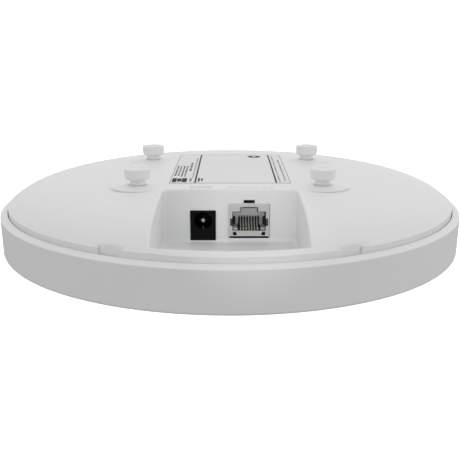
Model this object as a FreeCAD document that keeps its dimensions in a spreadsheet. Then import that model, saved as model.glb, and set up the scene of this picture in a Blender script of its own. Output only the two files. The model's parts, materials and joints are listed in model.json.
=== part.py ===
import FreeCAD, Part
import math
import os
import Sketcher
from FreeCAD import Vector

# Ceiling access point, lying on its front face with its mounting studs up.
# Millimetres, +Z up. The origin is the middle of the front face.
# The cable recess and its ports look towards -Y.

SIZES = {
    # Front cover: a round tray with a flat face and a nearly upright side wall.
    "case_radius": 90.0,
    "case_draft": 0.2,
    "rim_height": 14.5,
    "rim_width": 2.8,
    "rim_rise": 1.0,
    "rim_land": 0.5,
    "front_wall": 2.2,
    "bottom_round": 1.2,
    "seam_gap": 0.25,
    # Rear cover: a shallow dome with an edge that drops inside the rim.
    "cover_wall": 2.2,
    "edge_rise": 2.85,
    "edge_taper": 0.35,
    "edge_taper_rise": 0.2,
    "shoulder_inset": 8.95,
    "shoulder_drop": 4.1,
    "shoulder_bend": 25.8,
    "haunch_inset": 23.95,
    "haunch_drop": 1.16,
    "haunch_bend": 57.1,
    "flat_radius": 24.0,
    "plateau_height": 26.6,
    "skirt_wall": 2.0,
    "skirt_depth": 2.1,
    # Seat ribs, snap arms and the bars that they catch.
    "rib_count": 8,
    "rib_width": 1.5,
    "rib_reach": 4.2,
    "snap_count": 6,
    "snap_width": 8.0,
    "snap_thickness": 1.8,
    "snap_gap": 0.5,
    "snap_bottom": 7.4,
    "nib_height": 1.5,
    "nib_reach": 1.4,
    "catch_reach": 1.9,
    "catch_height": 1.7,
    "catch_gap": 0.3,
    # Pry notches in the seam, each side of the recess.
    "notch_angle": 25.2,
    "notch_length": 7.3,
    "notch_depth": 0.9,
    # Cable recess.
    "recess_half_width": 24.2,
    "recess_back": 34.6,
    "recess_floor": 7.0,
    "recess_lip": 2.65,
    "recess_wall": 2.0,
    "recess_corner": 1.5,
    "recess_edge_round": 0.7,
    # Keyhole studs, their pads and bosses.
    "stud_x": 33.9,
    "stud_y": 28.3,
    "stud_neck_radius": 2.8,
    "stud_neck_height": 1.9,
    "stud_head_radius": 4.7,
    "stud_under_round": 1.3,
    "stud_head_height": 4.1,
    "stud_edge_round": 0.5,
    "stud_dish_radius": 2.7,
    "stud_dish_depth": 0.25,
    "stud_shank_radius": 2.0,
    "stud_shank_length": 8.5,
    "pad_radius": 9.9,
    "pad_rise": 0.4,
    "pad_slope_drop": 0.7,
    "pad_crown_radius": 4.0,
    "boss_radius": 4.6,
    "boss_depth": 11.6,
    "shank_fit": 0.05,
    # Rating label on the flat of the dome.
    "label_half_width": 22.8,
    "label_front": 24.7,
    "label_back": 44.2,
    "label_thickness": 0.12,
    "label_corner": 1.0,
    # Main board and what holds it.
    "board_top": 7.7,
    "board_thickness": 1.6,
    "board_inset": 11.0,
    "board_gap": 0.3,
    "standoff_radius": 3.4,
    "screw_inset": 7.0,
    "screw_head_radius": 2.7,
    "screw_head_height": 1.9,
    "screw_shank_radius": 1.25,
    "screw_length": 4.8,
    "screw_fit": 0.05,
    "screw_slot": 0.7,
    "screw_play": 0.35,
    # Power inlet.
    "inlet_offset": 9.8,
    "inlet_width": 9.0,
    "inlet_height": 10.85,
    "inlet_depth": 14.0,
    "inlet_proud": 0.4,
    "inlet_bore_height": 7.1,
    "inlet_bore_radius": 3.1,
    "inlet_mouth_radius": 3.55,
    "inlet_bore_depth": 10.0,
    "inlet_pin_radius": 1.0,
    "inlet_pin_setback": 0.6,
    "blade_width": 0.6,
    "blade_slot": 1.4,
    "blade_thickness": 0.3,
    "blade_setback": 1.6,
    "blade_length": 7.5,
    "blade_rise": 1.7,
    "blade_drop": 0.7,
    "groove_depth": 1.6,
    "port_clearance": 0.15,
    # Network port.
    "port_offset": 6.93,
    "port_width": 14.7,
    "port_bottom": 8.45,
    "port_height": 12.5,
    "port_depth": 21.0,
    "port_proud": 0.4,
    "port_sheet": 0.3,
    "insert_fit": 0.05,
    "cavity_bottom": 11.25,
    "cavity_width": 12.1,
    "cavity_height": 7.1,
    "cavity_depth": 14.0,
    "latch_width": 6.45,
    "latch_height": 1.6,
    "keeper_width": 4.17,
    "keeper_height": 0.7,
    "relief_width": 4.05,
    "relief_height": 1.2,
    "relief_rise": 0.4,
    "relief_skin": 0.6,
    "contact_pitch": 1.02,
    "contact_count": 8,
    "contact_width": 0.4,
    "contact_thickness": 0.35,
    "contact_clearance": 0.3,
    "contact_rise": 3.2,
    "contact_run": 5.0,
    "contact_setback": 2.4,
    # Heat spreader and the chips under it.
    "spreader_half_width": 36.0,
    "spreader_front": 4.0,
    "spreader_back": 46.0,
    "spreader_height": 2.9,
    "spreader_plate": 1.6,
    "fin_height": 1.8,
    "fin_width": 1.6,
    "fin_count": 9,
    "fin_pitch": 4.4,
    "leg_radius": 2.6,
    "leg_inset": 3.6,
    # Status light.
    "light_back": 29.0,
    "light_radius": 1.5,
    "light_flange_radius": 3.0,
    "light_flange_height": 0.8,
    "light_gap": 0.3,
    "led_height": 0.9,
    "led_width": 1.6,
    # Reset switch at the back edge of the board.
    "switch_width": 6.0,
    "switch_depth": 3.6,
    "switch_height": 3.6,
    "switch_setback": 1.2,
    "button_radius": 0.8,
    "button_length": 2.0,
    "button_inside": 1.0,
    "button_travel": 0.3,
    "button_fit": 0.05,
    "pin_hole_radius": 1.0,
}

os.makedirs("parts", exist_ok=True)
doc = FreeCAD.newDocument("access_point")
sheet = doc.addObject("Spreadsheet::Sheet", "dim")
nodes = {}


class Size:
    """A number together with the sheet expression that gives it."""

    def __init__(self, number, text):
        self.number = number
        self.text = text

    def __add__(self, other):
        other = sized(other)
        return Size(self.number + other.number, "(%s + %s)" % (self.text, other.text))

    def __radd__(self, other):
        return sized(other) + self

    def __sub__(self, other):
        other = sized(other)
        return Size(self.number - other.number, "(%s - %s)" % (self.text, other.text))

    def __rsub__(self, other):
        return sized(other) - self

    def __mul__(self, other):
        other = sized(other)
        return Size(self.number * other.number, "(%s * %s)" % (self.text, other.text))

    def __rmul__(self, other):
        return sized(other) * self

    def __truediv__(self, other):
        other = sized(other)
        return Size(self.number / other.number, "(%s / %s)" % (self.text, other.text))

    def __neg__(self):
        return Size(-self.number, "(0 - %s)" % self.text)


def sized(value):
    if isinstance(value, Size):
        return value
    return Size(float(value), "%.9f" % value)


def fill_sheet():
    for row, (alias, number) in enumerate(SIZES.items(), start=1):
        sheet.set("A%d" % row, alias)
        sheet.set("B%d" % row, str(number))
        sheet.setAlias("B%d" % row, alias)
    doc.recompute()


def dim(alias):
    return Size(float(sheet.get(alias)), "dim." + alias)


def bind(item, settings):
    for prop, value in settings.items():
        item.setExpression(prop, sized(value).text)


def node(item, name):
    item.Label = name
    nodes[name] = item
    return item


# Part primitives, placed and sized from the sheet.

def block(name, low, high):
    item = doc.addObject("Part::Box", name)
    settings = {}
    for axis, side, start, end in zip("xyz", ("Length", "Width", "Height"), low, high):
        settings[side] = sized(end) - start
        settings["Placement.Base." + axis] = start
    bind(item, settings)
    return item


def place(item, spot):
    bind(item, {"Placement.Base." + axis: value for axis, value in zip("xyz", spot)})
    return item


def rod(name, foot, radius, height, direction="up"):
    item = doc.addObject("Part::Cylinder", name)
    if direction == "back":
        item.Placement = FreeCAD.Placement(Vector(), FreeCAD.Rotation(Vector(1, 0, 0), -90))
    bind(item, {"Radius": radius, "Height": height})
    return place(item, foot)


def cone(name, foot, low_radius, high_radius, height, direction="up"):
    item = doc.addObject("Part::Cone", name)
    if direction == "back":
        item.Placement = FreeCAD.Placement(Vector(), FreeCAD.Rotation(Vector(1, 0, 0), -90))
    bind(item, {"Radius1": low_radius, "Radius2": high_radius, "Height": height})
    return place(item, foot)


def fuse(name, shapes):
    item = doc.addObject("Part::MultiFuse", name)
    item.Shapes = shapes
    return item


def cut(name, base, tools):
    item = doc.addObject("Part::Cut", name)
    item.Base = base
    item.Tool = tools[0] if len(tools) == 1 else fuse(name + "_tools", tools)
    return item


def common(name, base, tool):
    item = doc.addObject("Part::Common", name)
    item.Base = base
    item.Tool = tool
    return item


def group(name, members):
    item = doc.addObject("Part::Compound", name)
    item.Links = members
    return item


def round_edges(name, base, radius, wanted):
    doc.recompute()
    numbers = [i for i, edge in enumerate(base.Shape.Edges, start=1) if wanted(edge)]
    item = doc.addObject("Part::Fillet", name)
    item.Base = base
    item.Edges = [(number, radius.number, radius.number) for number in numbers]
    return item


def turn(item, angle):
    item.Placement = FreeCAD.Placement(Vector(), FreeCAD.Rotation(Vector(0, 0, 1), angle))
    return item


# Sketches whose every point is held by the sheet.

def new_sketch(body, role, name, offset=None):
    plane = [feature for feature in body.Origin.OriginFeatures if feature.Role == role][0]
    sketch = body.newObject("Sketcher::SketchObject", name)
    sketch.AttachmentSupport = (plane, "")
    sketch.MapMode = "FlatFace"
    if offset is not None:
        sketch.setExpression("AttachmentOffset.Base.z", sized(offset).text)
    return sketch


def hold(sketch, kind, first, value):
    value = sized(value)
    number = sketch.addConstraint(Sketcher.Constraint(kind, *first, value.number))
    sketch.setExpression("Constraints[%d]" % number, value.text)


def hold_point(sketch, edge, end, x, y):
    for kind, value, axis in (("DistanceX", x, -2), ("DistanceY", y, -1)):
        if isinstance(value, Size):
            hold(sketch, kind, (-1, 1, edge, end), value)
        elif value == 0:
            sketch.addConstraint(Sketcher.Constraint("PointOnObject", edge, end, axis))
        else:
            sketch.addConstraint(Sketcher.Constraint(kind, -1, 1, edge, end, float(value)))


def circle(sketch, x, y, radius):
    centre = Vector(sized(x).number, sized(y).number, 0)
    edge = sketch.addGeometry(Part.Circle(centre, Vector(0, 0, 1), sized(radius).number), False)
    hold_point(sketch, edge, 3, x, y)
    hold(sketch, "Radius", (edge,), radius)


def arc_through(start, end, radius):
    """Arc from start to end: a positive radius turns left, a negative one right."""
    chord = end - start
    side = Vector(-chord.y, chord.x, 0).normalize()
    reach = math.sqrt(max(radius * radius - chord.Length ** 2 / 4, 0))
    centre = (start + end) * 0.5 + side * math.copysign(reach, radius)
    first, last = (start, end) if radius > 0 else (end, start)
    angles = [math.atan2(point.y - centre.y, point.x - centre.x) for point in (first, last)]
    return Part.ArcOfCircle(Part.Circle(centre, Vector(0, 0, 1), abs(radius)), *angles)


def outline(sketch, corners):
    """Closed outline. A corner is (x, y) or (x, y, radius of the arc to the next corner)."""
    spots = [Vector(sized(corner[0]).number, sized(corner[1]).number, 0) for corner in corners]
    edges = []
    for i, corner in enumerate(corners):
        start, end = spots[i], spots[(i + 1) % len(spots)]
        if len(corner) == 2:
            edges.append((sketch.addGeometry(Part.LineSegment(start, end), False), 1, 2))
        else:
            bend = sized(corner[2]).number
            edge = sketch.addGeometry(arc_through(start, end, bend), False)
            edges.append((edge, 1, 2) if bend > 0 else (edge, 2, 1))
    for (edge, _, end), (after, start, _) in zip(edges, edges[1:] + edges[:1]):
        sketch.addConstraint(Sketcher.Constraint("Coincident", edge, end, after, start))
    for corner, (edge, start, _) in zip(corners, edges):
        hold_point(sketch, edge, start, corner[0], corner[1])
        if len(corner) == 3:
            bend = sized(corner[2])
            hold(sketch, "Radius", (edge,), bend if bend.number > 0 else -bend)


def rectangle(sketch, x_low, y_low, x_high, y_high):
    outline(sketch, [(x_low, y_low), (x_high, y_low), (x_high, y_high), (x_low, y_high)])


# PartDesign features.

def new_body(name):
    return doc.addObject("PartDesign::Body", name)


def revolve(body, sketch, name):
    feature = body.newObject("PartDesign::Revolution", name)
    feature.Profile = sketch
    feature.ReferenceAxis = (sketch, ["V_Axis"])
    feature.Angle = 360
    return feature


def extrude(kind, body, sketch, name, length, both_ways=False):
    feature = body.newObject("PartDesign::" + kind, name)
    feature.Profile = sketch
    feature.Midplane = both_ways
    feature.setExpression("Length", sized(length).text)
    return feature


def polar(body, feature, name, count):
    pattern = body.newObject("PartDesign::PolarPattern", name)
    pattern.Originals = [feature]
    axis = [item for item in body.Origin.OriginFeatures if item.Role == "Z_Axis"][0]
    pattern.Axis = (axis, [""])
    pattern.Angle = 360
    pattern.setExpression("Occurrences", sized(count).text)
    body.Tip = pattern
    return pattern


def spin_copy(sketch, angle):
    """Turn a sketch on the XY plane about the part's axis."""
    offset = sketch.AttachmentOffset
    sketch.AttachmentOffset = FreeCAD.Placement(offset.Base, FreeCAD.Rotation(Vector(0, 0, 1), angle))


fill_sheet()

# Values that several pieces share.
rim_inner = dim("case_radius") - dim("rim_width")
cover_edge = rim_inner - dim("seam_gap")
skirt_inner = cover_edge - dim("skirt_wall")
skirt_bottom = dim("rim_height") - dim("skirt_depth")
edge_top = dim("rim_height") + dim("edge_rise")
pad_top = dim("plateau_height") + dim("pad_rise")
pad_rim = pad_top - dim("pad_slope_drop")
boss_bottom = pad_top - dim("boss_depth")
recess_bottom = dim("recess_floor") - dim("recess_wall")
recess_inner = dim("recess_back") - dim("recess_wall")
board_radius = dim("case_radius") - dim("board_inset")
board_bottom = dim("board_top") - dim("board_thickness")
board_front = recess_inner - dim("board_gap")
screw_reach = (board_radius - dim("screw_inset")) * math.sqrt(0.5)
light_y = -dim("light_back")
inlet_bottom = dim("board_top")
inlet_face = -(dim("recess_back") + dim("inlet_proud"))
inlet_x = -dim("inlet_offset")
inlet_z = inlet_bottom + dim("inlet_bore_height")
port_face = -(dim("recess_back") + dim("port_proud"))
port_x = dim("port_offset")
port_top = dim("port_bottom") + dim("port_height")
cavity_top = dim("cavity_bottom") + dim("cavity_height")
switch_z = dim("board_top") + dim("switch_height") / 2
switch_front = board_radius - dim("switch_setback")
corners = [(x, y) for x in (-1, 1) for y in (-1, 1)]


def front_cover():
    body = new_body("front_cover")
    bottom = dim("case_radius") - dim("case_draft")
    rounding = dim("bottom_round")
    wall = dim("front_wall")
    sketch = new_sketch(body, "XZ_Plane", "tray_profile")
    outline(sketch, [
        (0, 0),
        (bottom - rounding, 0, rounding),
        (bottom, rounding),
        (dim("case_radius"), dim("rim_height")),
        (rim_inner + dim("rim_land"), dim("rim_height") + dim("rim_rise"), dim("rim_land")),
        (rim_inner, dim("rim_height") + dim("rim_rise") - dim("rim_land")),
        (rim_inner, wall * 2, -wall),
        (rim_inner - wall, wall),
        (0, wall),
    ])
    revolve(body, sketch, "tray")
    seat_ribs(body)
    catch_bars(body)
    standoffs(body)
    sketch = new_sketch(body, "XY_Plane", "light_hole_sketch")
    circle(sketch, 0, light_y, dim("light_radius") + dim("screw_fit"))
    hole = extrude("Pocket", body, sketch, "light_hole", wall * 2)
    hole.Reversed = True
    sketch = new_sketch(body, "XZ_Plane", "pin_hole_sketch")
    circle(sketch, 0, switch_z, dim("pin_hole_radius"))
    hole = extrude("Pocket", body, sketch, "pin_hole", dim("case_radius") + 1)
    body.Tip = hole
    return node(body, "front_cover")


def seat_ribs(body):
    """Upright ribs on the wall that the rear cover's skirt rests on."""
    half = dim("rib_width") / 2
    sketch = new_sketch(body, "XY_Plane", "rib_sketch", dim("front_wall") - 0.2)
    rectangle(sketch, rim_inner - dim("rib_reach"), -half, rim_inner + 0.6, half)
    spin_copy(sketch, 22.5)
    sketch.setExpression("AttachmentOffset.Base.z", (dim("front_wall") - 0.2).text)
    rib = extrude("Pad", body, sketch, "rib", skirt_bottom - dim("front_wall") + 0.2)
    polar(body, rib, "ribs", dim("rib_count"))


def catch_bars(body):
    """Short bars inside the wall that the snap arms hook under."""
    half = dim("snap_width") / 2 + 1
    low = dim("snap_bottom") + dim("nib_height") + dim("catch_gap")
    sketch = new_sketch(body, "XY_Plane", "catch_sketch", low)
    rectangle(sketch, rim_inner - dim("catch_reach"), -half, rim_inner + 0.6, half)
    bar = extrude("Pad", body, sketch, "catch", dim("catch_height"))
    polar(body, bar, "catches", dim("snap_count"))


def standoffs(body):
    """Four posts that carry the main board, each with a screw hole."""
    base = dim("front_wall") - 0.2
    sketch = new_sketch(body, "XY_Plane", "standoff_sketch", base)
    circle(sketch, screw_reach, screw_reach, dim("standoff_radius"))
    post = extrude("Pad", body, sketch, "standoff", board_bottom - base)
    polar(body, post, "standoff_set", 4)
    sketch = new_sketch(body, "XY_Plane", "standoff_hole_sketch", board_bottom)
    circle(sketch, screw_reach, screw_reach, dim("screw_shank_radius") + dim("screw_fit"))
    hole = extrude("Pocket", body, sketch, "standoff_hole", dim("screw_length") - 1.2)
    polar(body, hole, "standoff_holes", 4)


def dome_top(drop):
    """Line of the dome from its shoulder to its axis, moved straight down by drop."""
    shoulder_radius = cover_edge - dim("shoulder_inset")
    haunch_radius = cover_edge - dim("haunch_inset")
    plateau = dim("plateau_height") - drop
    fall = dim("haunch_drop")
    run = haunch_radius - dim("flat_radius")
    crown_bend = (run * run + fall * fall) / (2 * fall)
    return [
        (shoulder_radius, plateau - dim("shoulder_drop"), dim("haunch_bend")),
        (haunch_radius, plateau - fall, crown_bend),
        (dim("flat_radius"), plateau),
        (0, plateau),
    ]


def dome_outside():
    """Outside line of the rear cover from the top of its upright edge to its axis."""
    crest = (cover_edge - dim("edge_taper"), edge_top + dim("edge_taper_rise"), dim("shoulder_bend"))
    return [(cover_edge, edge_top), crest] + dome_top(0)


def rear_shell():
    """Dome and skirt, before the recess is let in."""
    body = new_body("rear_shell")
    shoulder, haunch, flat, middle = dome_top(dim("cover_wall"))
    sketch = new_sketch(body, "XZ_Plane", "shell_profile")
    outline(sketch, [(skirt_inner, skirt_bottom), (cover_edge, skirt_bottom)] + dome_outside() + [
        middle,
        (flat[0], flat[1], -haunch[2]),
        (haunch[0], haunch[1], -shoulder[2]),
        (shoulder[0], shoulder[1], -dim("shoulder_bend")),
        (skirt_inner, edge_top - 0.55),
    ])
    revolve(body, sketch, "shell")
    return body


def dome_plug():
    """Solid under the dome's outside, which trims the recess walls."""
    body = new_body("dome_plug")
    sketch = new_sketch(body, "XZ_Plane", "plug_profile")
    outline(sketch, [(0, recess_bottom), (cover_edge, recess_bottom)] + dome_outside())
    revolve(body, sketch, "plug")
    return body


def recess_hollow():
    """The space of the cable recess, round at its back corners and floor edges."""
    half = dim("recess_half_width")
    reach = dim("case_radius")
    space = block("recess_space", (-half, -reach, dim("recess_floor")),
                  (half, -dim("recess_back"), pad_top + 5))

    def at_floor_or_corner(edge):
        middle = edge.CenterOfMass
        low = middle.z < dim("recess_floor").number + 0.01
        upright = abs(edge.tangentAt(edge.FirstParameter).z) > 0.99
        return (low or upright) and middle.y > -reach.number + 0.01

    rounded = round_edges("recess_rounded", space, dim("recess_corner"), at_floor_or_corner)
    front = rod("recess_front", (0, 0, 0), cover_edge - dim("recess_lip"), pad_top + 10)
    return common("recess_hollow", rounded, front)


def snap_arms():
    arms = []
    outer = skirt_inner - dim("snap_gap") / 2
    inner = outer - dim("snap_thickness")
    half = dim("snap_width") / 2
    bottom = dim("snap_bottom")
    for i in range(int(dim("snap_count").number)):
        angle = 360.0 / dim("snap_count").number * i
        arm = block("snap_arm_%d" % i, (inner, -half, bottom), (outer, half, edge_top + 1.3))
        nib = block("snap_nib_%d" % i, (outer - 0.2, -half, bottom),
                    (outer + dim("nib_reach"), half, bottom + dim("nib_height")))
        arms.append(turn_about_axis("snap_%d" % i, fuse("snap_pair_%d" % i, [arm, nib]), angle))
    return arms


def turn_about_axis(name, item, angle):
    holder = group(name, [item])
    return turn(holder, angle)


def port_windows():
    gap = dim("port_clearance")
    back = -recess_inner + 1
    front = -(dim("recess_back") + 1)
    half = dim("inlet_width") / 2 + gap
    inlet = block("inlet_window", (inlet_x - half, front, inlet_bottom - gap),
                  (inlet_x + half, back, inlet_bottom + dim("inlet_height") + gap))
    half = dim("port_width") / 2 + gap
    port = block("port_window", (port_x - half, front, dim("port_bottom") - gap),
                 (port_x + half, back, port_top + gap))
    half = dim("relief_width") / 2
    low = port_top + dim("relief_rise")
    high = low + dim("relief_height")
    relief = block("latch_relief", (port_x - half, front, low), (port_x + half, back, high))
    skin = -(dim("recess_back") - dim("relief_skin"))
    pocket = block("latch_relief_pocket", (port_x - half - 0.5, skin, port_top),
                   (port_x + half + 0.5, back, high + 0.5))
    return [inlet, port, relief, pocket]


def pry_notches():
    notches = []
    for side in (-1, 1):
        half = dim("notch_length") / 2
        slot = block("notch_slot_%d" % (side + 1),
                     (-half, -(cover_edge + 1), dim("rim_height") - 1),
                     (half, -(cover_edge - dim("notch_depth")), edge_top + 2))
        holder = group("notch_%d" % (side + 1), [slot])
        holder.setExpression("Placement.Rotation.Angle", (dim("notch_angle") * side).text)
        notches.append(holder)
    return notches


def opened_shell(hollow):
    """The shell with the recess let in and the recess's upper edge rounded."""
    half = dim("recess_half_width") + dim("recess_wall")
    walls = block("recess_walls", (-half, -dim("case_radius"), recess_bottom),
                  (half, -recess_inner, pad_top))
    solid = fuse("shell_with_walls", [rear_shell(), common("recess_block", walls, dome_plug())])
    opened = cut("shell_opened", solid, [hollow])
    side = dim("recess_half_width").number
    back = dim("recess_back").number
    lip = cover_edge.number - dim("recess_lip").number

    def on_upper_edge(edge):
        box = edge.BoundBox
        if box.ZMin < edge_top.number + 0.5 or box.YMax > -back + dim("recess_corner").number:
            return False
        middle = edge.valueAt((edge.FirstParameter + edge.LastParameter) / 2)
        on_side = abs(abs(middle.x) - side) < 0.05 and box.YLength > 5
        on_back = abs(middle.y + back) < 0.05 and box.XLength > 30
        on_lip = abs(math.hypot(middle.x, middle.y) - lip) < 0.05 and box.ZLength < 0.2
        on_corner = box.ZLength < 0.01 and abs(middle.x) > side - 3
        return on_side or on_back or on_lip or on_corner

    return round_edges("shell_softened", opened, dim("recess_edge_round"), on_upper_edge)


def rear_cover():
    hollow = recess_hollow()
    solids = [opened_shell(hollow)]
    holes = port_windows() + pry_notches()
    pads = []
    wall = dim("cover_wall")
    for i, (x, y) in enumerate(corners):
        spot = (dim("stud_x") * x, dim("stud_y") * y)
        low = pad_rim - wall * 0.6
        pads.append(rod("pad_%d" % i, spot + (low,), dim("pad_radius"), pad_rim - low))
        pads.append(cone("pad_slope_%d" % i, spot + (pad_rim,), dim("pad_radius"),
                         dim("pad_crown_radius"), dim("pad_slope_drop")))
        pads.append(rod("boss_%d" % i, spot + (boss_bottom,), dim("boss_radius"),
                        dim("boss_depth") - wall / 2))
        depth = dim("stud_shank_length") + 0.5
        holes.append(rod("shank_hole_%d" % i, spot + (pad_top - depth,),
                         dim("stud_shank_radius") + dim("shank_fit"), depth + 1))
    solids.append(cut("pads_and_bosses", fuse("pads_and_bosses_solid", pads), [hollow]))
    solids += snap_arms()
    return node(cut("rear_cover", fuse("rear_cover_solid", solids), holes), "rear_cover")


def stud(name, x, y):
    """Shouldered stud with a round-edged head and a press-fit shank."""
    body = new_body(name)
    place(body, (x, y, pad_top))
    head = dim("stud_head_radius")
    neck = dim("stud_neck_height")
    top = neck + dim("stud_head_height")
    under = dim("stud_under_round")
    edge = dim("stud_edge_round")
    dish = dim("stud_dish_radius")
    shank_end = -dim("stud_shank_length")
    sketch = new_sketch(body, "XZ_Plane", name + "_profile")
    outline(sketch, [
        (0, shank_end),
        (dim("stud_shank_radius"), shank_end),
        (dim("stud_shank_radius"), 0),
        (dim("stud_neck_radius"), 0),
        (dim("stud_neck_radius"), neck),
        (head - under, neck, under),
        (head, neck + under),
        (head, top - edge, edge),
        (head - edge, top),
        (dish, top),
        (dish, top - dim("stud_dish_depth")),
        (0, top - dim("stud_dish_depth")),
    ])
    revolve(body, sketch, name + "_turned")
    return body


def mounting_studs():
    """Four studs: each head hooks through a keyhole in the ceiling bracket."""
    studs = [stud("stud_%d" % i, dim("stud_x") * x, dim("stud_y") * y)
             for i, (x, y) in enumerate(corners)]
    return node(group("mounting_studs", studs), "mounting_studs")


def rating_label():
    """Printed film on the crown of the dome, bent to its curve."""
    film = new_body("label_film")
    lower = dome_top(0)
    upper = dome_top(-dim("label_thickness"))
    sketch = new_sketch(film, "XZ_Plane", "film_profile")
    outline(sketch, [
        (lower[1][0], lower[1][1]),
        (upper[1][0], upper[1][1], upper[1][2]),
        upper[2],
        upper[3],
        lower[3],
        (lower[2][0], lower[2][1], -lower[1][2]),
    ])
    revolve(film, sketch, "film")
    body = new_body("label_shape")
    half = dim("label_half_width")
    front = -dim("label_front")
    back = dim("label_back")
    bend = dim("label_corner")
    sketch = new_sketch(body, "XY_Plane", "label_outline", dim("plateau_height") - 4)
    outline(sketch, [
        (bend - half, front), (half - bend, front, bend),
        (half, front + bend), (half, back - bend, bend),
        (half - bend, back), (bend - half, back, bend),
        (-half, back - bend), (-half, front + bend, bend),
    ])
    extrude("Pad", body, sketch, "label_block", sized(8))
    return node(common("rating_label", film, body), "rating_label")


def screw(name, spot, seat, length):
    """Pan-head screw with a cross recess, its head resting at seat."""
    x, y = spot
    head = rod(name + "_head", (x, y, seat), dim("screw_head_radius"), dim("screw_head_height"))
    shank = rod(name + "_shank", (x, y, seat - length), dim("screw_shank_radius"), length + 0.5)
    top = seat + dim("screw_head_height")
    reach = dim("screw_head_radius") * 0.6
    half = dim("screw_slot") / 2
    low = top - dim("screw_head_height") * 0.55
    along = block(name + "_slot_x", (x - reach, y - half, low), (x + reach, y + half, top + 1))
    across = block(name + "_slot_y", (x - half, y - reach, low), (x + half, y + reach, top + 1))
    return cut(name, fuse(name + "_solid", [head, shank]), [along, across])


def main_board():
    """Round circuit board with a bay cut out for the cable recess."""
    body = new_body("main_board")
    sketch = new_sketch(body, "XY_Plane", "board_outline", board_bottom)
    circle(sketch, 0, 0, board_radius)
    extrude("Pad", body, sketch, "board_disc", dim("board_thickness"))
    sketch = new_sketch(body, "XY_Plane", "board_bay", dim("board_top"))
    half = dim("recess_half_width") + dim("recess_wall") + dim("board_gap")
    rectangle(sketch, -half, -(board_radius + 1), half, -board_front)
    extrude("Pocket", body, sketch, "board_bay_cut", dim("board_thickness") + 1)
    sketch = new_sketch(body, "XY_Plane", "board_hole_sketch", dim("board_top"))
    circle(sketch, screw_reach, screw_reach, dim("screw_shank_radius") + dim("screw_play"))
    hole = extrude("Pocket", body, sketch, "board_hole", dim("board_thickness") + 1)
    polar(body, hole, "board_holes", 4)
    sketch = new_sketch(body, "XY_Plane", "spreader_hole_sketch", dim("board_top"))
    for x, y in spreader_spots():
        circle(sketch, x, y, dim("screw_shank_radius") + dim("screw_play"))
    holes = extrude("Pocket", body, sketch, "spreader_holes", dim("board_thickness") + 1)
    body.Tip = holes
    return node(body, "main_board")


def board_screws():
    screws = []
    for i, (x, y) in enumerate(corners):
        spot = (screw_reach * x, screw_reach * y)
        screws.append(screw("board_screw_%d" % i, spot, dim("board_top"), dim("screw_length")))
    return node(group("board_screws", screws), "board_screws")


def spreader_spots():
    inset = dim("leg_inset")
    half = dim("spreader_half_width")
    low = dim("spreader_front") + inset
    high = dim("spreader_back") - inset
    return [(x * (half - inset), y) for x in (-1, 1) for y in (low, high)]


def heat_spreader():
    """Finned aluminium plate on four legs, over the warm chips."""
    body = new_body("heat_spreader")
    base = dim("board_top") + dim("spreader_height")
    half = dim("spreader_half_width")
    sketch = new_sketch(body, "XY_Plane", "plate_outline", base)
    rectangle(sketch, -half, dim("spreader_front"), half, dim("spreader_back"))
    extrude("Pad", body, sketch, "plate", dim("spreader_plate"))
    sketch = new_sketch(body, "XY_Plane", "leg_outline", dim("board_top"))
    for x, y in spreader_spots():
        circle(sketch, x, y, dim("leg_radius"))
    extrude("Pad", body, sketch, "legs", dim("spreader_height") + 0.2)
    sketch = new_sketch(body, "XY_Plane", "fin_outline", base + dim("spreader_plate") - 0.1)
    run = half - dim("leg_inset") * 2
    low = dim("spreader_front") + 1
    rectangle(sketch, -run, low, run, low + dim("fin_width"))
    fin = extrude("Pad", body, sketch, "fin", dim("fin_height") + 0.1)
    pattern = body.newObject("PartDesign::LinearPattern", "fins")
    pattern.Originals = [fin]
    axis = [item for item in body.Origin.OriginFeatures if item.Role == "Y_Axis"][0]
    pattern.Direction = (axis, [""])
    pattern.setExpression("Length", (dim("fin_pitch") * (dim("fin_count") - 1)).text)
    pattern.setExpression("Occurrences", dim("fin_count").text)
    body.Tip = pattern
    sketch = new_sketch(body, "XY_Plane", "leg_hole_outline", base + dim("spreader_plate"))
    for x, y in spreader_spots():
        circle(sketch, x, y, dim("screw_shank_radius") + dim("screw_fit"))
    holes = extrude("Pocket", body, sketch, "leg_holes", base + dim("spreader_plate"))
    body.Tip = holes
    return node(body, "heat_spreader")


def spreader_screws():
    seat = dim("board_top") + dim("spreader_height") + dim("spreader_plate")
    length = dim("spreader_height") + dim("spreader_plate") + dim("board_thickness")
    screws = [screw("spreader_screw_%d" % i, spot, seat, length)
              for i, spot in enumerate(spreader_spots())]
    return node(group("spreader_screws", screws), "spreader_screws")


def chip(name, x, y, width, depth, height):
    """A moulded package standing on the board."""
    top = dim("board_top")
    return block(name, (x - width / 2, y - depth / 2, top), (x + width / 2, y + depth / 2, top + height))


def shield_can(name, x, y, width, depth, height):
    """Thin metal can, open towards the board."""
    sheet_wall = 0.25
    outer = chip(name + "_outer", x, y, width, depth, height)
    top = dim("board_top")
    inner = block(name + "_inner",
                  (x - width / 2 + sheet_wall, y - depth / 2 + sheet_wall, top - 1),
                  (x + width / 2 - sheet_wall, y + depth / 2 - sheet_wall, top + height - sheet_wall))
    return cut(name, outer, [inner])


def chips_under_spreader():
    node(chip("processor", 0, 25, 15, 15, 1.4), "processor")
    top = dim("board_top")
    pad = block("thermal_pad", (-7, 18, top + 1.4), (7, 32, top + dim("spreader_height")))
    node(pad, "thermal_pad")
    node(chip("memory_chip", 0, 11.5, 13, 8, 1.1), "memory_chip")
    node(chip("flash_chip", 0, 39, 8, 6, 1.0), "flash_chip")
    chips = [chip("radio_chip_%d" % i, x, 25, 9, 9, 0.9) for i, x in enumerate((-21, 21))]
    node(group("radio_chips", chips), "radio_chips")
    cans = [shield_can("radio_can_%d" % i, x, 25, 20, 26, 2.6) for i, x in enumerate((-21, 21))]
    node(group("radio_shields", cans), "radio_shields")


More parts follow.
